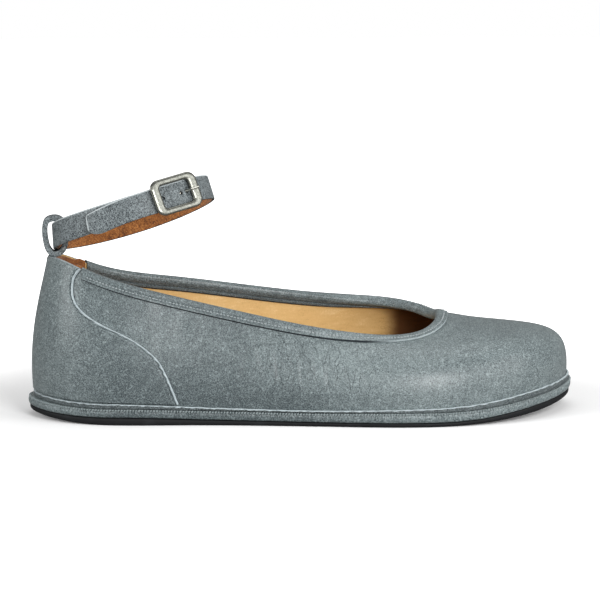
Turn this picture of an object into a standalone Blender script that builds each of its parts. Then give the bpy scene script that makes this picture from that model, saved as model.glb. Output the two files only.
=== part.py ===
"""Barefoot ballet flat with an ankle strap, right shoe: one solid for each piece that a maker puts together.

Metres, +X to the toe, +Y to the inner (medial) side, +Z up. The sole's flat stands on z = 0, and the origin is
under the middle of the sole's bounding box. The upper is a skin of ribs: each rib starts at the sole's edge and
ends at the topline, so the skin is a ring that is open at the collar and underneath.
"""

import math

import bmesh
import bpy
import numpy as np

# Last and topline
LAST_LENGTH = 0.2515
BALL_WIDTH = 0.0935
HEEL_HEIGHT = 0.0660
THROAT_HEIGHT = 0.0385
UPPER_WALL = 0.0022

# Sole
OUTSOLE_THICKNESS = 0.0024
MIDSOLE_THICKNESS = 0.0042
TOE_SPRING = 0.0066
HEEL_SPRING = 0.0026
TOE_ROLL = 0.0717
HEEL_ROLL = 0.0327
RIM_OVERHANG = 0.0028
OUTSOLE_INSET = 0.0007
OUTSOLE_EDGE_ROUND = 0.0008
INSOLE_THICKNESS = 0.0018

# Pieces on the upper
SEAT_GAP = 0.0003
RAND_HEIGHT = 0.0026
RAND_THICKNESS = 0.0009
RAND_FOOT = 0.0012
COUNTER_LENGTH = 0.0830
COUNTER_THICKNESS = 0.0010
BINDING_WIDTH = 0.0044
BINDING_THICKNESS = 0.0009
LINING_DEPTH = 0.0340
LINING_LENGTH = 0.0338
LINING_THICKNESS = 0.0010
LINING_RISE = 0.0016

# Ankle strap, its ring and the loop at the heel
STRAP_WIDTH = 0.0115
STRAP_THICKNESS = 0.0016
RING_LENGTH = 0.0775
RING_BREADTH = 0.0610
RING_PITCH = math.radians(17.0)
RING_ROLL = math.radians(12.5)
RING_SAG = 0.0015
RING_FLARE = 0.24
RING_BEND_AHEAD = 0.00112
RING_BEND_ABOVE = 0.00889
BUCKLE_TURN = math.radians(57.0)
TIP_LENGTH = 0.0440
TIP_TAPER = 0.0050
TIP_DROOP = 0.0017
FOLD_LENGTH = 0.0130
LOOP_WIDTH = 0.0085
LOOP_THICKNESS = 0.0019
LOOP_HEIGHT = 0.0177

# Buckle
FRAME_LENGTH = 0.0242
FRAME_END = 0.0040
FRAME_RAIL = 0.0026
FRAME_THICKNESS = 0.0020
FRAME_CORNER = 0.0044
FRAME_INNER_CORNER = 0.0015
FRAME_SIDE_CLEARANCE = 0.0002
BAR_RADIUS = 0.00075
BAR_GAP = 0.00045
PRONG_RADIUS = 0.0006
HOLE_RADIUS = 0.0008
HOLE_PLACES = (0.0029, -0.0059)

# Facets
AROUND = 84
UPWARD = 10

# One row for each rib of the upper, from the middle of the heel along the outer side to the toe and back along
# the inner side. foot_x and top_x are shares of LAST_LENGTH from the back of the sole's edge; foot_y and top_y
# are shares of BALL_WIDTH; rise is 0 at THROAT_HEIGHT and 1 at HEEL_HEIGHT. The last four shape the rib: lean is
# how far it swells outwards, as a share of BALL_WIDTH, lift how high that swell is held, run how far back from
# the topline the crown begins, as a share of the rib's own run, and drop how far it lies under the topline.
RIB_COLUMNS = "foot_x foot_y top_x top_y rise lean lift run drop".split()
RIBS = (
    (0.000, 0.000, 0.0285, 0.000, 1.065, 0.031, 0.452, 0.500, 0.286),
    (0.042, -0.235, 0.052, -0.160, 1.040, 0.028, 0.440, 0.458, 0.291),
    (0.125, -0.350, 0.121, -0.259, 0.800, 0.029, 0.417, 0.406, 0.290),
    (0.255, -0.383, 0.251, -0.288, 0.459, 0.029, 0.396, 0.403, 0.299),
    (0.415, -0.426, 0.412, -0.318, 0.119, 0.031, 0.399, 0.452, 0.289),
    (0.565, -0.490, 0.553, -0.338, -0.133, 0.025, 0.488, 0.502, 0.219),
    (0.680, -0.528, 0.652, -0.317, -0.230, 0.018, 0.664, 0.553, 0.142),
    (0.805, -0.486, 0.716, -0.225, -0.185, 0.017, 0.806, 0.667, 0.151),
    (0.905, -0.350, 0.743, -0.120, -0.072, 0.020, 0.894, 0.763, 0.204),
    (0.972, -0.140, 0.7515, -0.015, -0.003, 0.025, 0.934, 0.810, 0.252),
    (1.000, 0.105, 0.7535, 0.060, 0.018, 0.029, 0.958, 0.828, 0.287),
    (0.982, 0.295, 0.749, 0.130, -0.029, 0.025, 0.949, 0.809, 0.288),
    (0.915, 0.420, 0.735, 0.205, -0.013, 0.021, 0.899, 0.743, 0.249),
    (0.810, 0.480, 0.704, 0.275, 0.064, 0.018, 0.819, 0.656, 0.191),
    (0.700, 0.492, 0.645, 0.320, 0.132, 0.018, 0.693, 0.560, 0.173),
    (0.580, 0.420, 0.554, 0.330, 0.195, 0.025, 0.493, 0.506, 0.240),
    (0.430, 0.318, 0.421, 0.305, 0.337, 0.031, 0.421, 0.454, 0.301),
    (0.265, 0.300, 0.258, 0.275, 0.540, 0.029, 0.396, 0.404, 0.306),
    (0.125, 0.315, 0.122, 0.238, 0.760, 0.029, 0.418, 0.406, 0.293),
    (0.040, 0.220, 0.051, 0.150, 1.025, 0.028, 0.439, 0.458, 0.292),
)

# The edge of the sole along its length, a share of LAST_LENGTH: thickness of the two layers, height of the rand
# and overhang of the rim, each as a share of its named size.
EDGE_COLUMNS = "along outsole midsole rand rim".split()
SOLE_EDGE = (
    (0.00, 1.10, 0.92, 0.80, 1.30),
    (0.15, 1.55, 0.88, 0.75, 1.12),
    (0.32, 1.15, 0.92, 0.48, 0.95),
    (0.50, 0.90, 0.93, 0.38, 0.92),
    (0.68, 0.90, 1.04, 0.52, 0.92),
    (0.80, 0.95, 1.00, 0.84, 0.88),
    (0.92, 1.40, 0.92, 1.05, 0.80),
    (1.00, 1.25, 0.90, 0.95, 0.75),
)

# The front edge of the heel counter: its height as a share of the rib, and how far it lies from the middle of
# the heel, along the sole's edge, as a share of COUNTER_LENGTH.
COUNTER_COLUMNS = "height reach".split()
COUNTER_SEAM = (
    (0.00, 1.000),
    (0.20, 0.952),
    (0.33, 0.915),
    (0.43, 0.875),
    (0.50, 0.820),
    (0.55, 0.765),
    (0.59, 0.700),
    (0.63, 0.600),
    (0.67, 0.505),
    (0.71, 0.446),
    (0.77, 0.404),
    (0.84, 0.394),
    (0.92, 0.405),
    (1.00, 0.450),
)

# Middle line of the heel loop seen from the side: how far it lies ahead of the top of the heel and above it, as
# shares of LOOP_HEIGHT.
LOOP_COLUMNS = "ahead above".split()
LOOP_PATH = (
    (0.169, 0.074),
    (0.288, 0.128),
    (0.376, 0.270),
    (0.407, 0.470),
    (0.395, 0.700),
    (0.330, 0.893),
    (0.214, 0.988),
    (0.074, 1.000),
    (-0.055, 0.955),
    (-0.120, 0.840),
    (-0.137, 0.640),
    (-0.112, 0.420),
    (-0.060, 0.225),
    (0.045, 0.088),
)

GREY_LEATHER = ((0.19, 0.22, 0.23), 0.55, 0.0)
TAN_LEATHER = ((0.55, 0.27, 0.09), 0.65, 0.0)
BLACK_RUBBER = ((0.02, 0.021, 0.022), 0.7, 0.0)
STEEL = ((0.55, 0.55, 0.5), 0.3, 1.0)


def column(table, names, name):
    """One named column of a table as an array."""
    return np.array([row[names.index(name)] for row in table], float)


def closed_spline(knots, values, at):
    """A smooth closed curve through values at knots, where the last knot joins the first one turn later."""
    n = len(values)
    steps = np.diff(np.append(knots, 1.0 + knots[0]))
    before = np.roll(steps, 1)
    system = np.zeros((n, n))
    rows = np.arange(n)
    system[rows, (rows - 1) % n] = before
    system[rows, rows] = 2 * (before + steps)
    system[rows, (rows + 1) % n] = steps
    slopes = (np.roll(values, -1) - values) / steps
    bends = np.linalg.solve(system, 6 * (slopes - np.roll(slopes, 1)))
    at = np.mod(np.asarray(at, float) - knots[0], 1.0) + knots[0]
    i = np.clip(np.searchsorted(knots, at, side="right") - 1, 0, n - 1)
    j = (i + 1) % n
    h = steps[i]
    b = (at - knots[i]) / h
    a = 1 - b
    bend = ((a**3 - a) * bends[i] + (b**3 - b) * bends[j]) * h * h / 6
    return a * values[i] + b * values[j] + bend


def smooth_rows(at, places, values):
    """A smooth curve through the rows of a short table, level beyond its ends."""
    at = np.clip(np.asarray(at, float), places[0], places[-1])
    slopes = np.gradient(values, places)
    i = np.clip(np.searchsorted(places, at, side="right") - 1, 0, len(places) - 2)
    h = places[i + 1] - places[i]
    t = (at - places[i]) / h
    start, end = values[i], values[i + 1]
    swing = (1 - t) ** 2 * t * h * slopes[i] - (1 - t) * t**2 * h * slopes[i + 1]
    return start + (end - start) * (3 * t**2 - 2 * t**3) + swing


def unit(vectors):
    """Vectors scaled to length 1."""
    return vectors / np.linalg.norm(vectors, axis=-1, keepdims=True)


FOOT = np.stack([column(RIBS, RIB_COLUMNS, "foot_x") * LAST_LENGTH, column(RIBS, RIB_COLUMNS, "foot_y") * BALL_WIDTH], 1)
CHORDS = np.linalg.norm(np.roll(FOOT, -1, axis=0) - FOOT, axis=1)
KNOTS = np.concatenate([[0.0], np.cumsum(CHORDS)[:-1]]) / CHORDS.sum()
PERIMETER = CHORDS.sum()


def rib_value(name, u):
    """A column of RIBS at places u round the shoe, 0 at the heel and 1 again at the heel."""
    return closed_spline(KNOTS, column(RIBS, RIB_COLUMNS, name), u)


def outline(u, out=0.0):
    """Plan outline of the upper's foot, moved outwards by out."""
    u = np.asarray(u, float)
    step = 1e-4
    ends = [
        np.stack([rib_value("foot_x", u + d) * LAST_LENGTH, rib_value("foot_y", u + d) * BALL_WIDTH], -1)
        for d in (-step, 0.0, step)
    ]
    along = unit(ends[2] - ends[0])
    outward = np.stack([-along[..., 1], along[..., 0]], -1)
    return ends[1] + outward * -np.asarray(out)[..., None] * turning_sign()


def turning_sign():
    """1 where the ribs run anticlockwise seen from above, which they do: heel, outer side, toe, inner side."""
    return 1.0


def edge_value(name, x):
    """A column of SOLE_EDGE at places x along the shoe, as a share."""
    return smooth_rows(x / LAST_LENGTH, column(SOLE_EDGE, EDGE_COLUMNS, "along"), column(SOLE_EDGE, EDGE_COLUMNS, name))


def rim_outline(u, share=1.0, inset=0.0):
    """Plan outline of the sole's rim: a share of its overhang beyond the upper, less an inset."""
    overhang = RIM_OVERHANG * edge_value("rim", outline(u)[:, 0])
    return outline(u, share * overhang - inset)


def ground_lift(x):
    """How far the sole's underside leaves the floor, at the toe and at the back of the heel."""
    toe = np.clip((x - LAST_LENGTH + TOE_ROLL) / TOE_ROLL, 0, None)
    heel = np.clip((HEEL_ROLL - x) / HEEL_ROLL, 0, None)
    return TOE_SPRING * toe**2.1 + HEEL_SPRING * heel**1.8


def outsole_top(x):
    """Height of the joint between outsole and midsole."""
    return ground_lift(x) + OUTSOLE_THICKNESS * edge_value("outsole", x)


def midsole_top(x):
    """Height of the midsole's upper face, where the upper stands."""
    return outsole_top(x) + MIDSOLE_THICKNESS * edge_value("midsole", x)


def rib_controls(u):
    """The four control points of each rib: sole edge, swell, crown and topline."""
    u = np.asarray(u, float)
    foot = outline(u)
    lean = outline(u, rib_value("lean", u) * BALL_WIDTH)
    top = np.stack([rib_value("top_x", u) * LAST_LENGTH, rib_value("top_y", u) * BALL_WIDTH], -1)
    foot_z = midsole_top(foot[..., 0]) + SEAT_GAP
    base = OUTSOLE_THICKNESS + MIDSOLE_THICKNESS
    top_z = base + THROAT_HEIGHT + rib_value("rise", u) * (HEEL_HEIGHT - THROAT_HEIGHT)
    rise = top_z - foot_z
    run = rib_value("run", u)[..., None]
    crown = top + (foot - top) * run
    return [
        np.concatenate([plan, np.asarray(height)[..., None]], -1)
        for plan, height in (
            (foot, foot_z),
            (lean, foot_z + rib_value("lift", u) * rise),
            (crown, top_z - rib_value("drop", u) * rise),
            (top, top_z),
        )
    ]


FINE = np.linspace(0.0, 1.0, 41)


def rib_points(u, share):
    """Points of the bare skin: u round the shoe, share of the rib's length up from the sole."""
    u, share = np.broadcast_arrays(np.asarray(u, float), np.asarray(share, float))
    shape = u.shape
    u, share = u.ravel(), share.ravel()
    controls = rib_controls(u)
    weights = [(1 - FINE) ** 3, 3 * (1 - FINE) ** 2 * FINE, 3 * (1 - FINE) * FINE**2, FINE**3]
    curve = sum(w[None, :, None] * c[:, None, :] for w, c in zip(weights, controls))
    lengths = np.linalg.norm(np.diff(curve, axis=1), axis=2)
    travelled = np.concatenate([np.zeros((len(u), 1)), np.cumsum(lengths, axis=1)], 1)
    wanted = np.clip(share, 0, 1) * travelled[:, -1]
    found = np.empty((len(u), 3))
    for k in range(len(u)):
        found[k] = [np.interp(wanted[k], travelled[k], curve[k, :, axis]) for axis in range(3)]
    return found.reshape(shape + (3,))


def rib_length(u):
    """Length of each rib from the sole to the topline."""
    grid = rib_points(np.asarray(u, float)[:, None], FINE[None, ::4])
    return np.linalg.norm(np.diff(grid, axis=1), axis=2).sum(axis=1)


def skin(u, share, out=0.0):
    """Points of the upper's outer face, moved outwards by out along its normal."""
    u, share = np.broadcast_arrays(np.asarray(u, float), np.asarray(share, float))
    step = 0.004
    low, high = np.clip(share - 0.02, 0, 0.97), np.clip(share + 0.02, 0.03, 1)
    along = rib_points(u + step, share) - rib_points(u - step, share)
    up = rib_points(u, high) - rib_points(u, low)
    normal = unit(np.cross(along, up))
    return rib_points(u, share) + normal * np.asarray(out)[..., None]


def new_object(name, points, faces, material):
    """A mesh object of these points and faces, shaded smooth with sharp edges kept."""
    mesh = bpy.data.meshes.new(name)
    mesh.from_pydata([tuple(map(float, p)) for p in points], [], [tuple(map(int, f)) for f in faces])
    mesh.validate()
    work = bmesh.new()
    work.from_mesh(mesh)
    bmesh.ops.recalc_face_normals(work, faces=work.faces)
    work.to_mesh(mesh)
    work.free()
    mesh.shade_smooth()
    mesh.set_sharp_from_angle(angle=math.radians(40))
    mesh.materials.append(material)
    made = bpy.data.objects.new(name, mesh)
    bpy.context.scene.collection.objects.link(made)
    return made


def principled(name, look):
    """A Principled material from (colour, roughness, metallic)."""
    colour, roughness, metallic = look
    made = bpy.data.materials.new(name)
    made.use_nodes = True
    shader = made.node_tree.nodes["Principled BSDF"]
    shader.inputs["Base Color"].default_value = (*colour, 1)
    shader.inputs["Roughness"].default_value = roughness
    shader.inputs["Metallic"].default_value = metallic
    return made


def bridged(rings, closed_along, closed_across):
    """Quads between neighbouring rows of a grid of points shaped (rows, columns, 3)."""
    rows, cols = len(rings), len(rings[0])
    faces = []
    for i in range(rows if closed_across else rows - 1):
        for j in range(cols if closed_along else cols - 1):
            a, b = i * cols + j, i * cols + (j + 1) % cols
            c, d = ((i + 1) % rows) * cols + (j + 1) % cols, ((i + 1) % rows) * cols + j
            faces.append((a, b, c, d))
    return faces


def ladder(first, count):
    """Quads and two end triangles that close a ring of points, rung by rung from heel to toe."""
    faces = [(first, first + 1, first + count - 1)]
    for k in range(1, count // 2 - 1):
        faces.append((first + k, first + k + 1, first + count - k - 1, first + count - k))
    middle = count // 2
    faces.append((first + middle - 1, first + middle, first + middle + 1))
    return faces


def plate(name, rings, material):
    """A closed solid from a stack of rings round the shoe, its first and last ring closed by ladders."""
    count = len(rings[0])
    points = np.concatenate(rings)
    faces = bridged(rings, True, False) + ladder(0, count) + ladder((len(rings) - 1) * count, count)
    return new_object(name, points, faces, material)


def tube_ring(name, sections, material):
    """A closed ring swept round the shoe: sections is a list of rows, one for each corner of the section."""
    return new_object(name, np.concatenate(sections), bridged(sections, True, True), material)


def sleeve(name, sections, material):
    """An open strip with end caps: sections is a list of rows, one for each corner of the section."""
    corners, count = len(sections), len(sections[0])
    faces = bridged(sections, False, True)
    faces.append(tuple(i * count for i in range(corners)))
    faces.append(tuple(i * count + count - 1 for i in reversed(range(corners))))
    return new_object(name, np.concatenate(sections), faces, material)


def shell(name, outer, inner, material):
    """A closed patch between two grids of points of the same shape (rows, columns, 3)."""
    rows, cols = outer.shape[:2]
    faces = bridged(outer, False, False)
    faces += [tuple(v + rows * cols for v in face) for face in bridged(inner, False, False)]
    rim = [(0, j) for j in range(cols)] + [(i, cols - 1) for i in range(1, rows)]
    rim += [(rows - 1, j) for j in reversed(range(cols - 1))] + [(i, 0) for i in reversed(range(1, rows - 1))]
    numbers = [i * cols + j for i, j in rim]
    for a, b in zip(numbers, numbers[1:] + numbers[:1]):
        faces.append((a, b, b + rows * cols, a + rows * cols))
    return new_object(name, np.concatenate([outer.reshape(-1, 3), inner.reshape(-1, 3)]), faces, material)


def round_the_shoe():
    """Places u of the facets' corners, closer together at the heel and at the toe."""
    even = np.arange(AROUND) / AROUND
    return even - 0.3 * np.sin(4 * math.pi * even) / (4 * math.pi)


def level(plan, height):
    """Plan points raised to a height, which may be a function of x."""
    heights = height(plan[:, 0]) if callable(height) else np.full(len(plan), height)
    return np.column_stack([plan, heights])


def make_outsole(material):
    """Thin rubber sole with a rounded lower edge."""
    u = round_the_shoe()
    edge = OUTSOLE_EDGE_ROUND
    side = rim_outline(u, 1.0, OUTSOLE_INSET)
    rings = [
        level(rim_outline(u, 1.0, OUTSOLE_INSET + edge), ground_lift),
        level(rim_outline(u, 1.0, OUTSOLE_INSET + 0.3 * edge), lambda x: ground_lift(x) + 0.3 * edge),
        level(side, lambda x: ground_lift(x) + edge),
        level(side, lambda x: outsole_top(x) - SEAT_GAP),
    ]
    return plate("outsole", rings, material)


def make_midsole(material):
    """Platform wrapped in leather: its rim swells out beyond the upper, with a groove beside the rand."""
    u = round_the_shoe()
    rise = {
        share: (lambda x, share=share: outsole_top(x) + share * (midsole_top(x) - outsole_top(x)))
        for share in (0.0, 0.14, 0.45, 0.78, 0.94)
    }
    groove = RAND_FOOT + SEAT_GAP
    rings = [
        level(rim_outline(u, 0.72), rise[0.0]),
        level(rim_outline(u, 0.93), rise[0.14]),
        level(rim_outline(u), rise[0.45]),
        level(rim_outline(u, 0.88), rise[0.78]),
        level(outline(u, groove), rise[0.94]),
        level(outline(u, groove - 2 * SEAT_GAP), midsole_top),
    ]
    return plate("midsole", rings, material)


def make_insole(material):
    """Footbed inside the upper, seated on the midsole."""
    u = round_the_shoe()
    inset = -(UPPER_WALL + 2 * SEAT_GAP)
    rings = [
        level(outline(u, inset), lambda x: midsole_top(x) + SEAT_GAP),
        level(outline(u, inset), lambda x: midsole_top(x) + SEAT_GAP + 0.7 * INSOLE_THICKNESS),
        level(outline(u, inset - 0.4 * INSOLE_THICKNESS), lambda x: midsole_top(x) + SEAT_GAP + INSOLE_THICKNESS),
    ]
    return plate("insole", rings, material)


def make_upper(material):
    """The hollow upper: outer and inner face of the skin, joined at the topline and at the sole's edge."""
    u = round_the_shoe()
    heights = np.linspace(0, 1, UPWARD + 1)
    outer = [skin(u, h) for h in heights]
    inner = [skin(u, h, -UPPER_WALL) for h in heights]
    inner[0][:, 2] = outer[0][:, 2]
    return tube_ring("upper", outer + inner[::-1], material)


def make_rand(material):
    """Narrow strip of leather round the foot of the upper, its cut edge on top."""
    u = round_the_shoe()
    share = RAND_HEIGHT * edge_value("rand", outline(u)[:, 0]) / rib_length(u)
    foot = [skin(u, 0.0, out) for out in (SEAT_GAP, RAND_FOOT)]
    head = [skin(u, share, out) for out in (SEAT_GAP + RAND_THICKNESS, SEAT_GAP)]
    middle = skin(u, 0.45 * share, 0.6 * RAND_FOOT + 0.4 * (SEAT_GAP + RAND_THICKNESS))
    for row in foot:
        row[:, 2] = midsole_top(row[:, 0]) + SEAT_GAP
    return tube_ring("rand", [foot[0], foot[1], middle, head[0], head[1]], material)


def counter_reach(height):
    """How far the counter reaches from the middle of the heel at a share of the rib's height, as a share of a turn."""
    heights = column(COUNTER_SEAM, COUNTER_COLUMNS, "height")
    return smooth_rows(height, heights, column(COUNTER_SEAM, COUNTER_COLUMNS, "reach")) * COUNTER_LENGTH / PERIMETER


def make_counter(material):
    """Heel counter: a panel over the back of the upper, down to the rand."""
    columns = 25
    even = np.linspace(-1, 1, columns)
    spread = np.sign(even) * np.abs(even) ** 1.4
    heights = column(COUNTER_SEAM, COUNTER_COLUMNS, "height")
    heights[0] = 1.25 * RAND_HEIGHT / HEEL_HEIGHT
    u = np.array([counter_reach(h) * spread for h in heights])
    share = np.repeat(heights[:, None], columns, 1)
    outer = skin(u, share, SEAT_GAP + COUNTER_THICKNESS)
    inner = skin(u, share, SEAT_GAP)
    return shell("heel_counter", outer, inner, material)


def make_heel_lining(material):
    """Inner heel patch that stands a little above the collar."""
    columns, rows = 21, 6
    spread = np.linspace(-1, 1, columns)
    u = np.repeat((spread * LINING_LENGTH / PERIMETER)[None, :], rows, 0)
    depth = LINING_DEPTH / HEEL_HEIGHT * (1 - 0.35 * np.abs(spread) ** 3)
    share = 1 - depth[None, :] * np.linspace(1, 0, rows)[:, None]
    outer = skin(u, share, -UPPER_WALL - SEAT_GAP)
    inner = skin(u, share, -UPPER_WALL - SEAT_GAP - LINING_THICKNESS)
    rise = LINING_RISE * ease((np.abs(spread) - 0.16) / 0.16)
    up = unit(rib_points(u[0], 1.0) - rib_points(u[0], 0.94)) * rise[:, None]
    outer[-1] += up
    inner[-1] += up
    return shell("heel_lining", outer, inner, material)


def make_binding(material):
    """Leather strip folded over the topline, from one end of the counter round the throat to the other."""
    start = counter_reach(1.0) + SEAT_GAP * 2 / PERIMETER
    facets = round_the_shoe()
    clear = 0.3 / AROUND
    between = facets[(facets > start + clear) & (facets < 1 - start - clear)]
    u = np.concatenate([[start], between, [1 - start]])
    edge = rib_points(u, 1.0)
    up = unit(edge - rib_points(u, 0.94))
    out = unit(skin(u, 1.0, UPPER_WALL) - edge)
    share = 1 - BINDING_WIDTH / rib_length(u)
    near, far = SEAT_GAP, -UPPER_WALL - SEAT_GAP
    thick = BINDING_THICKNESS

    def over(outward, upward):
        return edge + out * outward + up * upward

    sections = [
        skin(u, share, near),
        skin(u, share, near + thick),
        over(near + thick, SEAT_GAP),
        over(-0.1 * UPPER_WALL, SEAT_GAP + thick),
        over(-0.9 * UPPER_WALL, SEAT_GAP + thick),
        over(far - thick, SEAT_GAP),
        skin(u, share, far - thick),
        skin(u, share, far),
        over(far, SEAT_GAP),
        over(near, SEAT_GAP),
    ]
    return sleeve("collar_binding", sections, material)


def ring_frame():
    """Middle of the ankle ring and its three axes: forward, towards the inner side, and across the strap."""
    forward = np.array([math.cos(RING_PITCH), 0.0, math.sin(RING_PITCH)])
    square = np.array([-math.sin(RING_PITCH), 0.0, math.cos(RING_PITCH)])
    inward = np.array([0.0, 1.0, 0.0])
    side = inward * math.cos(RING_ROLL) - square * math.sin(RING_ROLL)
    across = square * math.cos(RING_ROLL) + inward * math.sin(RING_ROLL)
    bend = rib_points(0.0, 1.0) + np.array([RING_BEND_AHEAD, 0.0, RING_BEND_ABOVE])
    return bend + 0.5 * RING_LENGTH * forward, forward, side, across


def ring_plan(angle):
    """Plan of the ring's middle line: angle 0 at the buckle, growing forwards round the front."""
    turn = np.asarray(angle, float) - BUCKLE_TURN
    half = 0.5 * np.array([RING_LENGTH - STRAP_THICKNESS, RING_BREADTH - STRAP_THICKNESS])
    return np.stack([half[0] * np.cos(turn), half[1] * np.sin(turn)], -1)


def ring_outward(angle):
    """Outward normal of the ring's plan."""
    turn = np.asarray(angle, float) - BUCKLE_TURN
    half = 0.5 * np.array([RING_LENGTH - STRAP_THICKNESS, RING_BREADTH - STRAP_THICKNESS])
    return unit(np.stack([half[1] * np.cos(turn), half[0] * np.sin(turn)], -1))


def ease(t):
    """Smooth step from 0 to 1."""
    t = np.clip(t, 0, 1)
    return t * t * (3 - 2 * t)


def strap_path():
    """Plan of the strap's middle line, from the free tip through the buckle and round the ring to its fold."""
    turn = 2 * math.pi
    fine = np.linspace(-turn, turn, 1601)
    plan = ring_plan(fine)
    travelled = np.concatenate([[0], np.cumsum(np.linalg.norm(np.diff(plan, axis=0), axis=1))])
    travelled -= np.interp(0.0, fine, travelled)
    whole = np.interp(turn, fine, travelled)

    def at(length, offset):
        angle = np.interp(length, travelled, fine)
        return ring_plan(angle) + ring_outward(angle) * np.asarray(offset)[..., None]

    layer = STRAP_THICKNESS + SEAT_GAP
    bight = BAR_RADIUS + BAR_GAP + 0.5 * STRAP_THICKNESS
    free = np.linspace(-TIP_LENGTH, FRAME_LENGTH, 32)
    lift = layer * (1 - ease((free - 0.5 * FRAME_LENGTH) / (0.5 * FRAME_LENGTH)))
    round_ring = np.linspace(FRAME_LENGTH, whole, 56)[1:]
    centre = at(np.array([whole]), np.array([-bight]))[0]
    angle = np.interp(whole, travelled, fine)
    out = ring_outward(angle)
    along = np.array([-out[1], out[0]])
    sweep = np.linspace(0.5 * math.pi, -0.5 * math.pi, 9)[1:-1]
    bend = centre + bight * (np.cos(sweep)[:, None] * along + np.sin(sweep)[:, None] * out)
    back = np.linspace(0, FOLD_LENGTH, 7)
    settle = ease(back / FOLD_LENGTH)
    fold = at(whole - back, -2 * bight * (1 - settle) - layer * settle)
    path = np.concatenate([at(free, lift), at(round_ring, np.zeros(len(round_ring))), bend, fold])
    droop = np.zeros(len(path))
    droop[: len(free)] = TIP_DROOP * np.clip((free + 0.4 * TIP_LENGTH) / (0.6 * TIP_LENGTH), -1, 0) ** 2
    return path, droop


def polyline_normals(path):
    """Left-hand normals of an open polyline in the plane."""
    along = np.gradient(path, axis=0)
    along = unit(along)
    return np.stack([along[:, 1], -along[:, 0]], -1)


def from_ring(plan, across_by):
    """Ring plan points and distances across the strap, as points of the shoe.

    Both sides of the ring hang a little below its two bends, and the bend at the heel stands more upright.
    """
    middle, forward, side, across = ring_frame()
    plan = np.asarray(plan, float)
    across_by = np.asarray(across_by, float)
    sag = RING_SAG * (2 * plan[..., 1] / RING_BREADTH) ** 2
    flare = RING_FLARE * across_by * np.clip(-2 * plan[..., 0] / RING_LENGTH, 0, None)
    flat = (plan[..., 0] + flare)[..., None] * forward + plan[..., 1:2] * side
    return middle + flat + (across_by - sag)[..., None] * across


def strap_half_width(path):
    """Half width along the strap: full, and rounded to a blunt tip at its free end."""
    travelled = np.concatenate([[0], np.cumsum(np.linalg.norm(np.diff(path, axis=0), axis=1))])
    t = np.clip(travelled / TIP_TAPER, 0, 1)
    return 0.5 * STRAP_WIDTH * (0.45 + 0.55 * np.sqrt(1 - (1 - t) ** 2))


def make_strap(material, cutters):
    """The ankle strap as one long strip, with holes in its free end and a slot for the prong."""
    path, droop = strap_path()
    normals = polyline_normals(path)
    half = strap_half_width(path)
    sections = []
    for face, edge in ((1, 1), (1, -1), (-1, -1), (-1, 1)):
        plan = path + normals * face * 0.5 * STRAP_THICKNESS
        sections.append(from_ring(plan, edge * half - droop))
    strap = sleeve("ankle_strap", sections, material)
    for cutter in cutters:
        cut = strap.modifiers.new(cutter.name, "BOOLEAN")
        cut.operation = "DIFFERENCE"
        cut.object = cutter
        cut.solver = "EXACT"
    return strap


def buckle_frame_axes():
    """Middle of the buckle on the ring, and its axes: along the strap forwards, outwards, and across."""
    turns = np.array([-0.02, 0.0, 0.02])
    line = from_ring(ring_plan(turns), np.zeros(3))
    along = unit(line[2] - line[0])
    rough = from_ring(ring_plan(0.0), 0.5 * STRAP_WIDTH) - from_ring(ring_plan(0.0), -0.5 * STRAP_WIDTH)
    outward = unit(np.cross(along, rough))
    return line[1], along, outward, np.cross(outward, along)


def in_buckle(along_by, out_by, across_by):
    """A point given in the buckle's own axes."""
    middle, along, outward, across = buckle_frame_axes()
    parts = [np.asarray(v, float)[..., None] for v in (along_by, out_by, across_by)]
    return middle + parts[0] * along + parts[1] * outward + parts[2] * across


def frame_height():
    """How far the middle of the frame's thickness lies outside the strap's middle line."""
    half = 0.5 * FRAME_LENGTH - FRAME_END
    sagitta = half**2 / RING_LENGTH
    return 1.5 * STRAP_THICKNESS + 3 * SEAT_GAP - sagitta + 0.5 * FRAME_THICKNESS


def swept_tube(name, centres, radius, sides, material, ends=1.0):
    """A round bar along centres, with its ends drawn in to the share ends."""
    centres = np.asarray(centres, float)
    along = unit(np.gradient(centres, axis=0))
    guide = buckle_frame_axes()[3]
    first = unit(np.cross(along, guide))
    second = np.cross(along, first)
    radii = np.full(len(centres), radius)
    radii[[0, -1]] *= ends
    angles = np.arange(sides) * 2 * math.pi / sides
    sections = [
        centres + radii[:, None] * (math.cos(a) * first + math.sin(a) * second) for a in angles
    ]
    return sleeve(name, sections, material)


def frame_outline(length, width, corner, corner_steps):
    """Rounded rectangle in the buckle's plane, along and across."""
    points = []
    quarter = np.linspace(0, 0.5 * math.pi, corner_steps)
    for k, (sx, sy) in enumerate(((1, 1), (-1, 1), (-1, -1), (1, -1))):
        centre = np.array([sx * (0.5 * length - corner), sy * (0.5 * width - corner)])
        angles = quarter + k * 0.5 * math.pi
        points += [centre + corner * np.array([math.cos(a), math.sin(a)]) for a in angles]
    return np.array(points)


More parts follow.
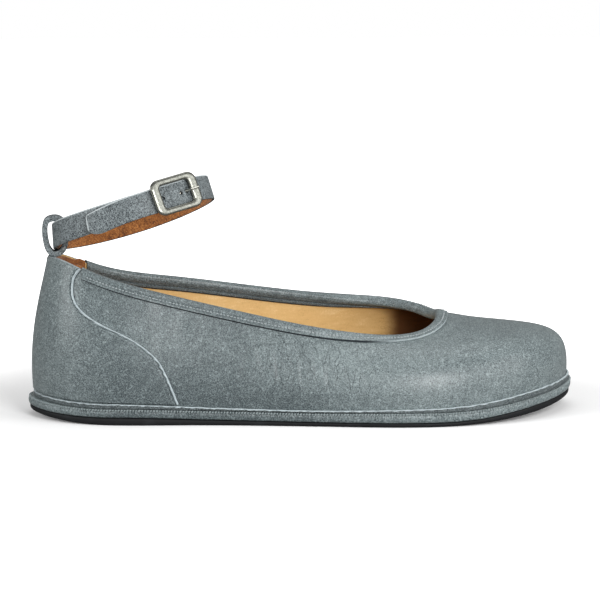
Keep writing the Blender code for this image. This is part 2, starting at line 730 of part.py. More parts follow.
def make_frame(material):
    """Buckle frame with a domed bar section, and the set-back middle bar that the strap folds round."""
    inner_width = STRAP_WIDTH + 2 * FRAME_SIDE_CLEARANCE
    width = inner_width + 2 * FRAME_RAIL
    section = ((0.0, -0.5), (0.0, 0.15), (0.28, 0.5), (0.72, 0.5), (1.0, 0.15), (1.0, -0.5))
    height = frame_height()
    rings = []
    for share, up in section:
        corner = FRAME_CORNER + share * (FRAME_INNER_CORNER - FRAME_CORNER)
        ring = frame_outline(FRAME_LENGTH - 2 * share * FRAME_END, width - 2 * share * FRAME_RAIL, corner, 5)
        rings.append(in_buckle(ring[:, 0], np.full(len(ring), height + up * FRAME_THICKNESS), ring[:, 1]))
    frame = tube_ring("buckle_frame", rings, material)
    reach = 0.5 * (inner_width + FRAME_RAIL)
    low = -(BAR_RADIUS + BAR_GAP + 0.5 * STRAP_THICKNESS)
    drop = np.array([height, low + 1.2 * BAR_RADIUS, low + 0.35 * BAR_RADIUS, low])
    inward = np.array([0.0, 0.0, 0.35 * BAR_RADIUS, 1.2 * BAR_RADIUS])
    outs = np.concatenate([drop, drop[::-1]])
    sideways = np.concatenate([-reach + inward, (reach - inward)[::-1]])
    bar_path = in_buckle(np.zeros(8), outs, sideways)
    bar = plain_bar("middle_bar", bar_path, BAR_RADIUS, 8, material)
    join = frame.modifiers.new("middle_bar", "BOOLEAN")
    join.operation = "UNION"
    join.object = bar
    join.solver = "EXACT"
    return frame


def plain_bar(name, centres, radius, sides, material):
    """A hidden helper bar that bends in the plane of the buckle's outward and across axes."""
    along = unit(np.gradient(centres, axis=0))
    first = np.broadcast_to(buckle_frame_axes()[1], along.shape)
    second = np.cross(along, first)
    angles = np.arange(sides) * 2 * math.pi / sides
    sections = [centres + radius * (math.cos(a) * first + math.sin(a) * second) for a in angles]
    helper = sleeve(name, sections, material)
    hide(helper)
    return helper


def hide(helper):
    """Marks a cutter or a joined helper, which is no piece of the shoe."""
    helper.hide_render = True
    helper.display_type = "WIRE"


def prong_path():
    """Middle line of the prong: an eye round the middle bar, a straight rise, and a rest on the front bar."""
    bar_out = -(BAR_RADIUS + BAR_GAP + 0.5 * STRAP_THICKNESS)
    eye = BAR_RADIUS + SEAT_GAP + PRONG_RADIUS
    rest = frame_height() + 0.5 * FRAME_THICKNESS + SEAT_GAP + PRONG_RADIUS
    front = 0.5 * FRAME_LENGTH - FRAME_END
    target = np.array([front + 0.0002, rest])
    span = target - np.array([0.0, bar_out])
    distance = np.linalg.norm(span)
    heading = math.atan2(span[1], span[0]) - math.asin(eye / distance)
    leave = heading + 0.5 * math.pi
    turns = np.linspace(leave + math.radians(285), leave, 15)
    hook = np.stack([eye * np.cos(turns), bar_out + eye * np.sin(turns)], -1)
    rise = hook[-1] + (target - hook[-1]) * np.linspace(0, 1, 6)[1:, None]
    flat = target + np.stack([np.linspace(0, 0.8 * FRAME_END, 4)[1:], np.zeros(3)], -1)
    return np.concatenate([hook, rise, flat])


def make_prong(name, radius, sides, material):
    """The prong, or with a larger radius the room that the strap leaves for it."""
    path = prong_path()
    centres = in_buckle(path[:, 0], path[:, 1], np.zeros(len(path)))
    return swept_tube(name, centres, radius, sides, material, ends=0.6)


def hole_cutter(index, place, material):
    """A round punch through the free end of the strap, at a length along it from the middle bar."""
    steps = np.linspace(-1, 1, 801)
    plans = ring_plan(steps)
    travelled = np.concatenate([[0], np.cumsum(np.linalg.norm(np.diff(plans, axis=0), axis=1))])
    angle = np.interp(place, travelled - np.interp(0.0, steps, travelled), steps)
    plan, out = ring_plan(angle), ring_outward(angle)
    start = plan + out * 0.5 * (STRAP_THICKNESS + SEAT_GAP)
    end = plan + out * 4 * STRAP_THICKNESS
    centres = from_ring(np.stack([start, end]), np.zeros(2))
    along = unit(np.gradient(centres, axis=0))
    across = np.broadcast_to(ring_frame()[3], along.shape)
    second = np.cross(along, across)
    angles = np.arange(10) * 2 * math.pi / 10
    sections = [centres + HOLE_RADIUS * (math.cos(a) * across + math.sin(a) * second) for a in angles]
    punch = sleeve(f"punch_{index}", sections, material)
    hide(punch)
    return punch


def make_loop(material):
    """Heel loop: a doubled strip that rises from the collar, passes over the strap and comes back down."""
    heel = rib_points(0.0, 1.0)
    knots = np.arange(len(LOOP_PATH)) / len(LOOP_PATH)
    turn = np.arange(44) / 44
    ahead, above = (
        LOOP_HEIGHT * closed_spline(knots, column(LOOP_PATH, LOOP_COLUMNS, name), turn) for name in LOOP_COLUMNS
    )
    middle = np.stack([heel[0] + ahead, heel[2] + above], -1)
    along = unit(np.roll(middle, -1, axis=0) - np.roll(middle, 1, axis=0))
    normal = np.stack([along[:, 1], -along[:, 0]], -1)
    sections = []
    for face, edge in ((1, 1), (1, -1), (-1, -1), (-1, 1)):
        plan = middle + normal * face * 0.5 * LOOP_THICKNESS
        sections.append(np.column_stack([plan[:, 0], np.full(len(plan), edge * 0.5 * LOOP_WIDTH), plan[:, 1]]))
    return tube_ring("heel_loop", sections, material)


def centre_on_origin():
    """Moves every piece so that the middle of the sole's bounding box is at x = 0 and y = 0."""
    rim = rim_outline(round_the_shoe())
    middle = 0.5 * (rim.min(axis=0) + rim.max(axis=0))
    for piece in bpy.context.scene.objects:
        piece.location.x -= middle[0]
        piece.location.y -= middle[1]


def main():
    """Clears the scene and makes every piece."""
    for old in list(bpy.data.objects):
        bpy.data.objects.remove(old)
    grey = principled("grey_leather", GREY_LEATHER)
    tan = principled("tan_leather", TAN_LEATHER)
    black = principled("black_rubber", BLACK_RUBBER)
    steel = principled("steel", STEEL)
    make_outsole(black)
    make_midsole(grey)
    make_insole(tan)
    make_upper(grey)
    make_rand(grey)
    make_counter(grey)
    make_heel_lining(tan)
    make_binding(grey)
    make_loop(grey)
    make_frame(steel)
    make_prong("buckle_prong", PRONG_RADIUS, 8, steel)
    room = make_prong("prong_room", PRONG_RADIUS + SEAT_GAP, 8, steel)
    hide(room)
    punches = [hole_cutter(k, place, steel) for k, place in enumerate(HOLE_PLACES)]
    make_strap(grey, [room, *punches])
    centre_on_origin()


main()
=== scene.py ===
"""Looks of a barefoot ballet flat with an ankle strap, right shoe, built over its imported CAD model.

Metres, +X to the toe, +Y to the inner side of the foot, +Z up. Each sub-assembly is a class that holds its
sizes and makes its pieces. Places round the shoe are given by u, 0 at the middle of the heel, growing along
the outer side to the toe and back along the inner side, and by share, 0 at the sole and 1 at the topline.
"""

from __future__ import annotations

import logging
import math
from dataclasses import dataclass, field
from enum import Enum
from typing import Callable, Iterable, Sequence, Union

import bmesh
import bpy
import numpy as np
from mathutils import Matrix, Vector

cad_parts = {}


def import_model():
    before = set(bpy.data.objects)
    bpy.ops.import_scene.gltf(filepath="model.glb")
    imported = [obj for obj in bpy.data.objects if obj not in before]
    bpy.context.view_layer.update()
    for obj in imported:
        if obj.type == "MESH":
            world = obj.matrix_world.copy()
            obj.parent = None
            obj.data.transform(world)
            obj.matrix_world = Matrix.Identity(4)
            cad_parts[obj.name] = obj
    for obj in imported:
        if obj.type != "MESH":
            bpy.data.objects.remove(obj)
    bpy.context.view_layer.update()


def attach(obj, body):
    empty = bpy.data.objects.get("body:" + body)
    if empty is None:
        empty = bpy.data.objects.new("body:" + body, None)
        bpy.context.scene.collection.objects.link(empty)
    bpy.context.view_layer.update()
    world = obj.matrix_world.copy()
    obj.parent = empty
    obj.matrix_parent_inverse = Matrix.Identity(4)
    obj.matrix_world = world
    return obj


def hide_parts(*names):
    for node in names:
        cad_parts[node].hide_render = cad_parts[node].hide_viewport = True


log = logging.getLogger("ballet_flat")

Array = np.ndarray
Colour = tuple[float, float, float]
Number = Union["Socket", float]
Material = bpy.types.Material

# Ribs of the upper round the shoe: plan of their foot and top in shares of the length and the ball's width,
# rise of the topline from the throat's height to the heel's, how far the swell leans out and how high it is,
# and how far the crown runs from the topline to the foot and drops below it.
RIB_COLUMNS = "foot_x foot_y top_x top_y rise lean lift run drop".split()
RIBS = (
    (0.000, 0.000, 0.0285, 0.000, 1.065, 0.031, 0.452, 0.500, 0.286),
    (0.042, -0.235, 0.052, -0.160, 1.040, 0.028, 0.440, 0.458, 0.291),
    (0.125, -0.350, 0.121, -0.259, 0.800, 0.029, 0.417, 0.406, 0.290),
    (0.255, -0.383, 0.251, -0.288, 0.459, 0.029, 0.396, 0.403, 0.299),
    (0.415, -0.426, 0.412, -0.318, 0.119, 0.031, 0.399, 0.452, 0.289),
    (0.565, -0.490, 0.553, -0.338, -0.133, 0.025, 0.488, 0.502, 0.219),
    (0.680, -0.528, 0.652, -0.317, -0.230, 0.018, 0.664, 0.553, 0.142),
    (0.805, -0.486, 0.716, -0.225, -0.185, 0.017, 0.806, 0.667, 0.151),
    (0.905, -0.350, 0.743, -0.120, -0.072, 0.020, 0.894, 0.763, 0.204),
    (0.972, -0.140, 0.7515, -0.015, -0.003, 0.025, 0.934, 0.810, 0.252),
    (1.000, 0.105, 0.7535, 0.060, 0.018, 0.029, 0.958, 0.828, 0.287),
    (0.982, 0.295, 0.749, 0.130, -0.029, 0.025, 0.949, 0.809, 0.288),
    (0.915, 0.420, 0.735, 0.205, -0.013, 0.021, 0.899, 0.743, 0.249),
    (0.810, 0.480, 0.704, 0.275, 0.064, 0.018, 0.819, 0.656, 0.191),
    (0.700, 0.492, 0.645, 0.320, 0.132, 0.018, 0.693, 0.560, 0.173),
    (0.580, 0.420, 0.554, 0.330, 0.195, 0.025, 0.493, 0.506, 0.240),
    (0.430, 0.318, 0.421, 0.305, 0.337, 0.031, 0.421, 0.454, 0.301),
    (0.265, 0.300, 0.258, 0.275, 0.540, 0.029, 0.396, 0.404, 0.306),
    (0.125, 0.315, 0.122, 0.238, 0.760, 0.029, 0.418, 0.406, 0.293),
    (0.040, 0.220, 0.051, 0.150, 1.025, 0.028, 0.439, 0.458, 0.292),
)

# Sizes of the sole's layers along the shoe, as shares of their nominal ones.
EDGE_COLUMNS = "along outsole midsole rand rim".split()
SOLE_EDGE = (
    (0.00, 1.10, 0.92, 0.80, 1.30),
    (0.15, 1.55, 0.88, 0.75, 1.12),
    (0.32, 1.15, 0.92, 0.48, 0.95),
    (0.50, 0.90, 0.93, 0.38, 0.92),
    (0.68, 0.90, 1.04, 0.52, 0.92),
    (0.80, 0.95, 1.00, 0.84, 0.88),
    (0.92, 1.40, 0.92, 1.05, 0.80),
    (1.00, 1.25, 0.90, 0.95, 0.75),
)

# Front edge of the counter: share of the counter's length that it reaches at shares of the height.
COUNTER_COLUMNS = "height reach".split()
COUNTER_SEAM = (
    (0.00, 1.000),
    (0.20, 0.952),
    (0.33, 0.915),
    (0.43, 0.875),
    (0.50, 0.820),
    (0.55, 0.765),
    (0.59, 0.700),
    (0.63, 0.600),
    (0.67, 0.505),
    (0.71, 0.446),
    (0.77, 0.404),
    (0.84, 0.394),
    (0.92, 0.405),
    (1.00, 0.450),
)

# Side view of the heel loop's middle line from the collar, in shares of the loop's height.
LOOP_COLUMNS = "ahead above".split()
LOOP_PATH = (
    (0.169, 0.074),
    (0.288, 0.128),
    (0.376, 0.270),
    (0.407, 0.470),
    (0.395, 0.700),
    (0.330, 0.893),
    (0.214, 0.988),
    (0.074, 1.000),
    (-0.055, 0.955),
    (-0.120, 0.840),
    (-0.137, 0.640),
    (-0.112, 0.420),
    (-0.060, 0.225),
    (0.045, 0.088),
)

# Soft creases of the upper: the ends of each in millimetres along the shoe and above the floor, its depth and
# half width in millimetres, and the side of the foot that it lies on, -1 outer and 1 inner.
CREASES = (
    (-19, 21, -24, 39, 0.10, 1.2, -1),
    (-13, 17, -15, 36, 0.14, 1.0, -1),
    (-6, 24, -9, 40, 0.15, 0.9, -1),
    (-2, 15, -4, 33, 0.16, 1.1, -1),
    (4, 23, 2, 38, 0.17, 0.9, -1),
    (9, 15, 9, 30, 0.15, 1.1, -1),
    (13, 24, 11, 37, 0.14, 0.9, -1),
    (20, 16, 16, 31, 0.12, 1.2, -1),
    (27, 19, 23, 34, 0.10, 1.2, -1),
    (-32, 14, -27, 34, 0.10, 1.8, -1),
    (0, 13, -4, 36, 0.15, 1.3, 1),
    (8, 15, 5, 37, 0.18, 1.1, 1),
    (17, 13, 13, 33, 0.15, 1.3, 1),
    (27, 16, 22, 31, 0.11, 1.5, 1),
)


def column(table: Sequence[Sequence[float]], names: Sequence[str], name: str) -> Array:
    """One named column of a table as an array."""
    return np.array([row[names.index(name)] for row in table], float)


def even_turns(count: int) -> Array:
    """Even places u round the shoe."""
    return np.arange(count) / count


def unit(vectors: Array) -> Array:
    """Vectors scaled to length 1."""
    return vectors / np.linalg.norm(vectors, axis=-1, keepdims=True)


def travelled_along(path: Array) -> Array:
    """Length travelled along a path at each of its points."""
    return np.concatenate([[0], np.cumsum(np.linalg.norm(np.diff(path, axis=0), axis=1))])


def levelled(plan: Array, height: Array) -> Array:
    """Plan points raised to their heights."""
    return np.column_stack([plan, height])


def ease(t: Array) -> Array:
    """Smooth step from 0 to 1."""
    t = np.clip(t, 0, 1)
    return t * t * (3 - 2 * t)


def closed_spline(knots: Array, values: Array, at: Array) -> Array:
    """A smooth closed curve through values at knots.

    Args:
        knots: places of the values, rising from 0; the first one comes back at 1.
        values: one value for each knot.
        at: places where the curve is wanted.

    Returns:
        The curve's values at those places.
    """
    n = len(values)
    steps = np.diff(np.append(knots, 1.0 + knots[0]))
    before = np.roll(steps, 1)
    system = np.zeros((n, n))
    rows = np.arange(n)
    system[rows, (rows - 1) % n] = before
    system[rows, rows] = 2 * (before + steps)
    system[rows, (rows + 1) % n] = steps
    slopes = (np.roll(values, -1) - values) / steps
    bends = np.linalg.solve(system, 6 * (slopes - np.roll(slopes, 1)))
    at = np.mod(np.asarray(at, float) - knots[0], 1.0) + knots[0]
    i = np.clip(np.searchsorted(knots, at, side="right") - 1, 0, n - 1)
    j = (i + 1) % n
    h = steps[i]
    b = (at - knots[i]) / h
    a = 1 - b
    bend = ((a**3 - a) * bends[i] + (b**3 - b) * bends[j]) * h * h / 6
    return a * values[i] + b * values[j] + bend


def smooth_rows(at: Array, places: Array, values: Array) -> Array:
    """A smooth curve through the rows of a short table, level beyond its ends.

    Args:
        at: places where the curve is wanted.
        places: the table's own places, rising.
        values: the table's values.

    Returns:
        The curve's values.
    """
    at = np.clip(np.asarray(at, float), places[0], places[-1])
    slopes = np.gradient(values, places)
    i = np.clip(np.searchsorted(places, at, side="right") - 1, 0, len(places) - 2)
    h = places[i + 1] - places[i]
    t = (at - places[i]) / h
    start, end = values[i], values[i + 1]
    swing = (1 - t) ** 2 * t * h * slopes[i] - (1 - t) * t**2 * h * slopes[i + 1]
    return start + (end - start) * (3 * t**2 - 2 * t**3) + swing


def ripple(turns: Array, longest: int, shortest: int, waves: int, seed: int) -> Array:
    """Irregular waves round the shoe that meet themselves after one turn.

    Args:
        turns: places u, 0 to 1.
        longest: fewest waves in a turn.
        shortest: most waves in a turn.
        waves: how many sine waves are added.
        seed: fixed seed of their lengths and phases.

    Returns:
        Heights of about -1 to 1.
    """
    chance = np.random.default_rng(seed)
    counts = chance.integers(longest, shortest, waves)
    phases = chance.uniform(0, 2 * math.pi, waves)
    total = sum(np.sin(2 * math.pi * k * turns + p) for k, p in zip(counts, phases))
    return total / math.sqrt(0.5 * waves) / 1.8


def linked(name: str, data: bpy.types.ID) -> bpy.types.Object:
    """A new object of the scene that shows a mesh, a light or a camera."""
    made = bpy.data.objects.new(name, data)
    bpy.context.scene.collection.objects.link(made)
    return made


class Face(Enum):
    """Which finish a face of a piece takes."""

    GRAIN = 0
    LINING = 1
    EDGE = 2
    CUT = 3


class Form(Enum):
    """The small form that a repeat sets at each of its places."""

    STITCH = "stitch"
    STUD = "stud"


def maths_method(operation: str, swapped: bool = False) -> Callable[[Socket, Number], Socket]:
    """Makes a method of Socket that adds a Math node on the socket and another value.

    Args:
        operation: the Math node's operation.
        swapped: whether the other value comes first.

    Returns:
        The method.
    """

    def method(self: Socket, other: Number) -> Socket:
        """The node's result."""
        return self.maths(operation, *((other, self) if swapped else (self, other)))

    return method


class Socket:
    """An output of a material node, so that shader maths is written as plain expressions."""

    def __init__(self, graph: Graph, output: bpy.types.NodeSocket) -> None:
        """Keeps the node tree and the output socket."""
        self.graph = graph
        self.output = output

    def maths(self, operation: str, first: Number, second: Number) -> Socket:
        """The result of a Math node on two sockets or numbers."""
        inputs = {"Value": first, "Value_001": second}
        return self.graph.node("ShaderNodeMath", {"operation": operation}, inputs, "Value")

    __add__, __radd__ = maths_method("ADD"), maths_method("ADD", True)
    __sub__, __rsub__ = maths_method("SUBTRACT"), maths_method("SUBTRACT", True)
    __mul__, __rmul__ = maths_method("MULTIPLY"), maths_method("MULTIPLY", True)

    def between(self, low: float, high: float) -> Socket:
        """A soft step from 0 at low to 1 at high."""
        return self.graph.node(
            "ShaderNodeMapRange",
            {"interpolation_type": "SMOOTHSTEP"},
            {"Value": self, "From Min": low, "From Max": high},
            "Result",
        )

    def window(self, start: float, full: float, fall: float, end: float) -> Socket:
        """1 from full to fall, with soft slopes down to 0 at start and end."""
        return self.between(start, full) * (1 - self.between(fall, end))

    def clamped(self) -> Socket:
        """Held between 0 and 1."""
        return self.graph.node("ShaderNodeClamp", {}, {"Value": self}, "Result")


class Graph:
    """Node tree of one material, with its Principled shader."""

    def __init__(self, name: str, constants: dict[str, float]) -> None:
        """Makes the material.

        Args:
            name: the material's name.
            constants: values that are the same all over, set on the shader's own sockets.
        """
        self.material = bpy.data.materials.new(name)
        self.material.use_nodes = True
        self.tree = self.material.node_tree
        self.shader = self.tree.nodes["Principled BSDF"]
        for socket, value in constants.items():
            self.shader.inputs[socket].default_value = value

    def node(self, kind: str, settings: dict[str, object], inputs: dict[str, object], output: str) -> Socket:
        """Adds any node.

        Args:
            kind: the node's type.
            settings: its properties, set before its sockets.
            inputs: values or links, by the sockets' identifiers.
            output: identifier of the output that is wanted.

        Returns:
            That output.
        """
        made = self.tree.nodes.new(kind)
        for name, value in settings.items():
            setattr(made, name, value)
        for identifier, value in inputs.items():
            target = next(s for s in made.inputs if s.identifier == identifier)
            if isinstance(value, Socket):
                self.tree.links.new(value.output, target)
            else:
                target.default_value = value
        return Socket(self, next(s for s in made.outputs if s.identifier == output))

    def millimetres(self, stretch: Sequence[float] = (1, 1, 1)) -> Socket:
        """Object coordinates in millimetres, stretched by a factor on each axis."""
        place = self.node("ShaderNodeTexCoord", {}, {}, "Object")
        factors = tuple(1000.0 * s for s in stretch)
        return self.vector("MULTIPLY", place, factors)

    def vector(self, operation: str, a: object, b: object) -> Socket:
        """Vector maths on two vectors."""
        inputs = {"Vector": a, "Vector_001": b}
        return self.node("ShaderNodeVectorMath", {"operation": operation}, inputs, "Vector")

    def axis(self, place: Socket, name: str) -> Socket:
        """One coordinate of places, X, Y or Z."""
        return self.node("ShaderNodeSeparateXYZ", {}, {"Vector": place}, name)

    def shifted(self, place: Socket, size: float, amount: float) -> Socket:
        """Places pushed about by noise, so that a pattern isn't regular.

        Args:
            place: places in millimetres.
            size: size of the noise in millimetres.
            amount: how far it pushes, in millimetres.

        Returns:
            The pushed places.
        """
        inputs = {"Vector": place, "Scale": 1 / size, "Detail": 1.0}
        push = self.node("ShaderNodeTexNoise", {}, inputs, "Color")
        centred = self.vector("SUBTRACT", push, (0.5, 0.5, 0.5))
        return self.vector("ADD", place, self.vector("MULTIPLY", centred, (2 * amount,) * 3))

    def noise(self, place: Socket, size: float, detail: float = 2.0, rough: float = 0.5) -> Socket:
        """Soft noise of about 0 to 1.

        Args:
            place: places in millimetres.
            size: size of its blotches in millimetres.
            detail: number of finer layers.
            rough: strength of the finer layers.

        Returns:
            The noise.
        """
        inputs = {"Vector": place, "Scale": 1 / size, "Detail": detail, "Roughness": rough}
        return self.node("ShaderNodeTexNoise", {}, inputs, "Fac")

    def cells(self, place: Socket, size: float, feature: str = "F1", output: str = "Distance") -> Socket:
        """Cells of a given size in millimetres: distance to their middle or edge, or their colour."""
        inputs = {"Vector": place, "Scale": 1 / size}
        return self.node("ShaderNodeTexVoronoi", {"feature": feature}, inputs, output)

    def mix(self, factor: Number, first: object, second: object) -> Socket:
        """Mixes two colours.

        Args:
            factor: share of the second colour.
            first: colour or socket.
            second: colour or socket.

        Returns:
            The mixed colour.
        """
        a, b = ((*c, 1.0) if isinstance(c, tuple) else c for c in (first, second))
        inputs = {"Factor_Float": factor, "A_Color": a, "B_Color": b}
        return self.node("ShaderNodeMix", {"data_type": "RGBA"}, inputs, "Result_Color")

    def finish(self, colour: object, roughness: Number, height: Socket | None, relief: float) -> Material:
        """Joins everything to the shader.

        Args:
            colour: base colour, or a socket that gives it.
            roughness: number or socket.
            height: relief of the surface, about 0 to 1.
            relief: its depth in metres.

        Returns:
            The material.
        """
        for name, value in (("Base Color", colour), ("Roughness", roughness)):
            if isinstance(value, Socket):
                self.tree.links.new(value.output, self.shader.inputs[name])
            elif name == "Base Color":
                self.shader.inputs[name].default_value = (*value, 1.0)
            else:
                self.shader.inputs[name].default_value = value
        if height is not None:
            bump = self.node("ShaderNodeBump", {}, {"Height": height, "Distance": relief}, "Normal")
            self.tree.links.new(bump.output, self.shader.inputs["Normal"])
        return self.material


@dataclass(frozen=True)
class Toned:
    """A finish in three tones of one colour."""

    name: str
    base: Colour
    light: Colour
    dark: Colour

    def tones(self, graph: Graph, bright: Socket) -> Socket:
        """Colour from dark through base to light, as bright goes from 0 to 1."""
        low = graph.mix(bright.between(0.0, 0.5), self.dark, self.base)
        return graph.mix(bright.between(0.5, 1.0), low, self.light)


@dataclass(frozen=True)
class PebbledLeather(Toned):
    """Full-grain leather: rounded pebbles with fine dark furrows, mottled in colour.

    Sizes of the pattern are in millimetres, and so are the zones: where they start, are full, begin to fall
    and end.
    """

    pebble: float = 0.84
    blotch_size: float = 5.0
    cloud_size: float = 34.0
    crack_size: float = 4.0
    crack_width: float = 0.055
    relief: float = 0.00046
    roughness: float = 0.50
    speckle: float = 0.66
    mottle: float = 0.36
    wax: float = 0.50
    crack_shade: float = 0.0
    flex_highlight: float = 0.34
    low_shade: float = 0.0
    flex_along: tuple[float, ...] = (-34.0, -16.0, 20.0, 44.0)
    flex_up: tuple[float, ...] = (13.0, 22.0, 41.0, 47.0)
    low_shade_along: tuple[float, ...] = (-118.0, -85.0, -20.0, 45.0)
    low_shade_up: tuple[float, float] = (14.0, 40.0)

    def flex_lines(self, graph: Graph, place: Socket) -> tuple[Socket, Socket]:
        """Fine upright cracks where the leather flexes at the ball of the foot.

        Args:
            graph: the material's graph.
            place: places in millimetres.

        Returns:
            Mask of the cracks, and of the zone that flexes.
        """
        stretched = graph.shifted(graph.millimetres((1.0, 1.0, 0.30)), 3.0, 1.3)
        edges = graph.cells(stretched, self.crack_size, "DISTANCE_TO_EDGE")
        cracks = 1 - edges.between(0.0, self.crack_width)
        broken = graph.noise(place, self.crack_size, 1.0, 0.5).between(0.34, 0.52)
        zone = graph.axis(place, "X").window(*self.flex_along) * graph.axis(place, "Z").window(*self.flex_up)
        return cracks * zone * broken, zone

    def low_shaded(self, graph: Graph, place: Socket, cloud: Socket) -> Socket:
        """Painted shade: darker low on the quarters, fading towards the ball and the heel, and less dark
        higher up.
        """
        along = (graph.axis(place, "X") + (cloud - 0.5) * 40).window(*self.low_shade_along)
        return along * (1.0 - 0.45 * graph.axis(place, "Z").between(*self.low_shade_up))

    def material(self) -> Material:
        """Makes the material."""
        graph = Graph(self.name, {"Specular IOR Level": 0.4, "Coat Weight": self.wax, "Coat Roughness": 0.33})
        place = graph.millimetres()
        bent = graph.shifted(place, 2.4, 0.4)
        furrow = graph.cells(bent, self.pebble, "DISTANCE_TO_EDGE").between(0.0, 0.25)
        tone = graph.cells(bent, self.pebble, "F1", "Color")
        tone = graph.node("ShaderNodeSeparateColor", {}, {"Color": tone}, "Red")
        grain = graph.noise(place, 0.85 * self.pebble, 1.0, 0.45)
        blotch = graph.noise(place, self.blotch_size, 2.0, 0.5)
        cloud = graph.noise(place, self.cloud_size, 2.0, 0.5)
        height = furrow * 0.50 + grain * 0.6 + tone * 0.15
        shade = (tone - 0.5) * 0.35 + (grain - 0.5) * 1.6 - (furrow - 0.7) * 0.8
        # Cracks at the ball: sunk in the relief and painted darker, a painted shade in them.
        if self.crack_shade > 0:
            lines, zone = self.flex_lines(graph, place)
            height = height - lines
            # Across the flex zone the colour is painted paler: a painted highlight.
            shade = shade - lines * self.crack_shade + zone * self.flex_highlight
        # Low on the quarters the colour is darkened: painted shade.
        if self.low_shade > 0:
            shade = shade - self.low_shaded(graph, place, cloud) * self.low_shade
        uneven = (blotch - 0.5) * self.mottle + (cloud - 0.5) * self.mottle
        bright = (0.5 + shade * self.speckle + uneven).clamped()
        colour = self.tones(graph, bright)
        rough = self.roughness + (blotch - 0.5) * 0.16 + (1 - furrow) * 0.10
        return graph.finish(colour, rough, height, self.relief)


@dataclass(frozen=True)
class Suede(Toned):
    """Napped leather: matt, with short fibres that lie in patches."""

    fibre: float = 0.30
    contrast: float = 2.6

    def material(self) -> Material:
        """Makes the material."""
        graph = Graph(self.name, {"Specular IOR Level": 0.15, "Sheen Weight": 0.35, "Sheen Roughness": 0.6})
        place = graph.millimetres()
        nap = graph.noise(place, self.fibre, 3.0, 0.7)
        patch = graph.noise(place, 5.0, 3.0, 0.6)
        bright = (0.5 + (nap - 0.5) * self.contrast + (patch - 0.5) * 0.9).clamped()
        colour = self.tones(graph, bright)
        return graph.finish(colour, 0.92 - nap * 0.1, nap + patch * 0.3, 0.00018)


@dataclass(frozen=True)
class SmoothLining(Toned):
    """Thin lining leather with a fine even grain."""

    toe_shadow: Colour
    toe_shadow_from: float = 39.0
    toe_shadow_to: float = 51.0

    def material(self) -> Material:
        """Makes the material, with a painted shadow from the throat to the toe, where the vamp keeps the
        light off the lining.
        """
        graph = Graph(self.name, {"Specular IOR Level": 0.3})
        place = graph.millimetres()
        grain = graph.noise(place, 0.7, 3.0, 0.6)
        pores = graph.cells(place, 1.3, "F1").between(0.0, 0.25)
        cloud = graph.noise(place, 16.0, 3.0, 0.5)
        streaks = graph.noise(graph.millimetres((0.35, 0.35, 1.6)), 2.6, 3.0, 0.6)
        shade = (grain - 0.5) * 0.8 + (cloud - 0.5) * 0.7 + (streaks - 0.5) * 0.9 + (pores - 1.0) * 0.15
        bright = (0.5 + shade).clamped()
        colour = self.tones(graph, bright)
        front = (graph.axis(place, "X") + (cloud - 0.5) * 6.0).between(self.toe_shadow_from, self.toe_shadow_to)
        colour = graph.mix(front, colour, self.toe_shadow)
        return graph.finish(colour, 0.62 + (cloud - 0.5) * 0.2, grain + pores * 0.3, 0.00010)


@dataclass(frozen=True)
class RawEdge(Toned):
    """Cut edge of the leather: its pale fibres show in short strands."""

    shadow_tone: Colour | None = None
    shadow_to: float = 26.0
    front_from: float = 44.0

    def material(self) -> Material:
        """Makes the material, with a dark painted shadow behind the throat where a shadow tone is given."""
        graph = Graph(self.name, {"Specular IOR Level": 0.2})
        place = graph.millimetres()
        strands = graph.noise(place, 0.5, 3.0, 0.7)
        patch = graph.noise(place, 2.2, 2.0, 0.5)
        bright = (0.5 + (strands - 0.5) * 1.2 + (patch - 0.5) * 0.8).clamped()
        colour = self.tones(graph, bright)
        if self.shadow_tone:
            front = graph.axis(place, "X").between(self.shadow_to, self.front_from)
            colour = graph.mix(front, self.shadow_tone, colour)
        return graph.finish(colour, 0.85 - patch * 0.1, strands, 0.00012)


@dataclass(frozen=True)
class Rubber:
    """Moulded black rubber with a fine sparked skin and a little dust."""

    name: str
    base: Colour
    dust: Colour

    def material(self) -> Material:
        """Makes the material."""
        graph = Graph(self.name, {"Specular IOR Level": 0.2})
        place = graph.millimetres()
        spark = graph.noise(place, 0.25, 3.0, 0.7)
        patch = graph.noise(place, 7.0, 3.0, 0.6)
        wear = (patch.between(0.45, 0.75) * 0.4 + (spark - 0.5) * 0.25).clamped()
        colour = graph.mix(wear, self.base, self.dust)
        return graph.finish(colour, 0.62 + (patch - 0.5) * 0.2, spark, 0.00006)


@dataclass(frozen=True)
class AntiqueSilver:
    """Cast buckle metal: worn bright in patches, tarnished dark between them, with fine scratches."""

    name: str
    bright: Colour
    tarnish: Colour

    def material(self) -> Material:
        """Makes the material."""
        graph = Graph(self.name, {"Metallic": 1.0})
        place = graph.millimetres()
        patch = graph.noise(place, 1.1, 4.0, 0.6)
        fine = graph.noise(place, 0.35, 2.0, 0.6)
        scratch = graph.noise(graph.millimetres((0.3, 3.0, 3.0)), 0.4, 2.0, 0.6)
        worn = (0.64 + (patch - 0.5) * 1.3 + (fine - 0.5) * 0.4).clamped()
        colour = graph.mix(worn, self.tarnish, self.bright)
        rough = 0.24 + (1 - worn) * 0.22 + (scratch - 0.5) * 0.1
        return graph.finish(colour, rough, patch * 0.7 + scratch * 0.2 + fine * 0.1, 0.00004)


@dataclass(frozen=True)
class Thread:
    """Twisted sewing thread, a little paler than the leather."""

    name: str
    base: Colour
    light: Colour

    def material(self) -> Material:
        """Makes the material."""
        graph = Graph(self.name, {"Specular IOR Level": 0.25, "Sheen Weight": 0.3})
        twist = graph.noise(graph.millimetres((1.0, 1.0, 2.0)), 0.22, 2.0, 0.6)
        colour = graph.mix(twist.between(0.3, 0.7), self.base, self.light)
        return graph.finish(colour, 0.75, twist, 0.00008)


def material_of(finish: Toned | Rubber | AntiqueSilver | Thread) -> Material:
    """A field that holds the material of a finish, made together with the others."""
    return field(default_factory=finish.material)


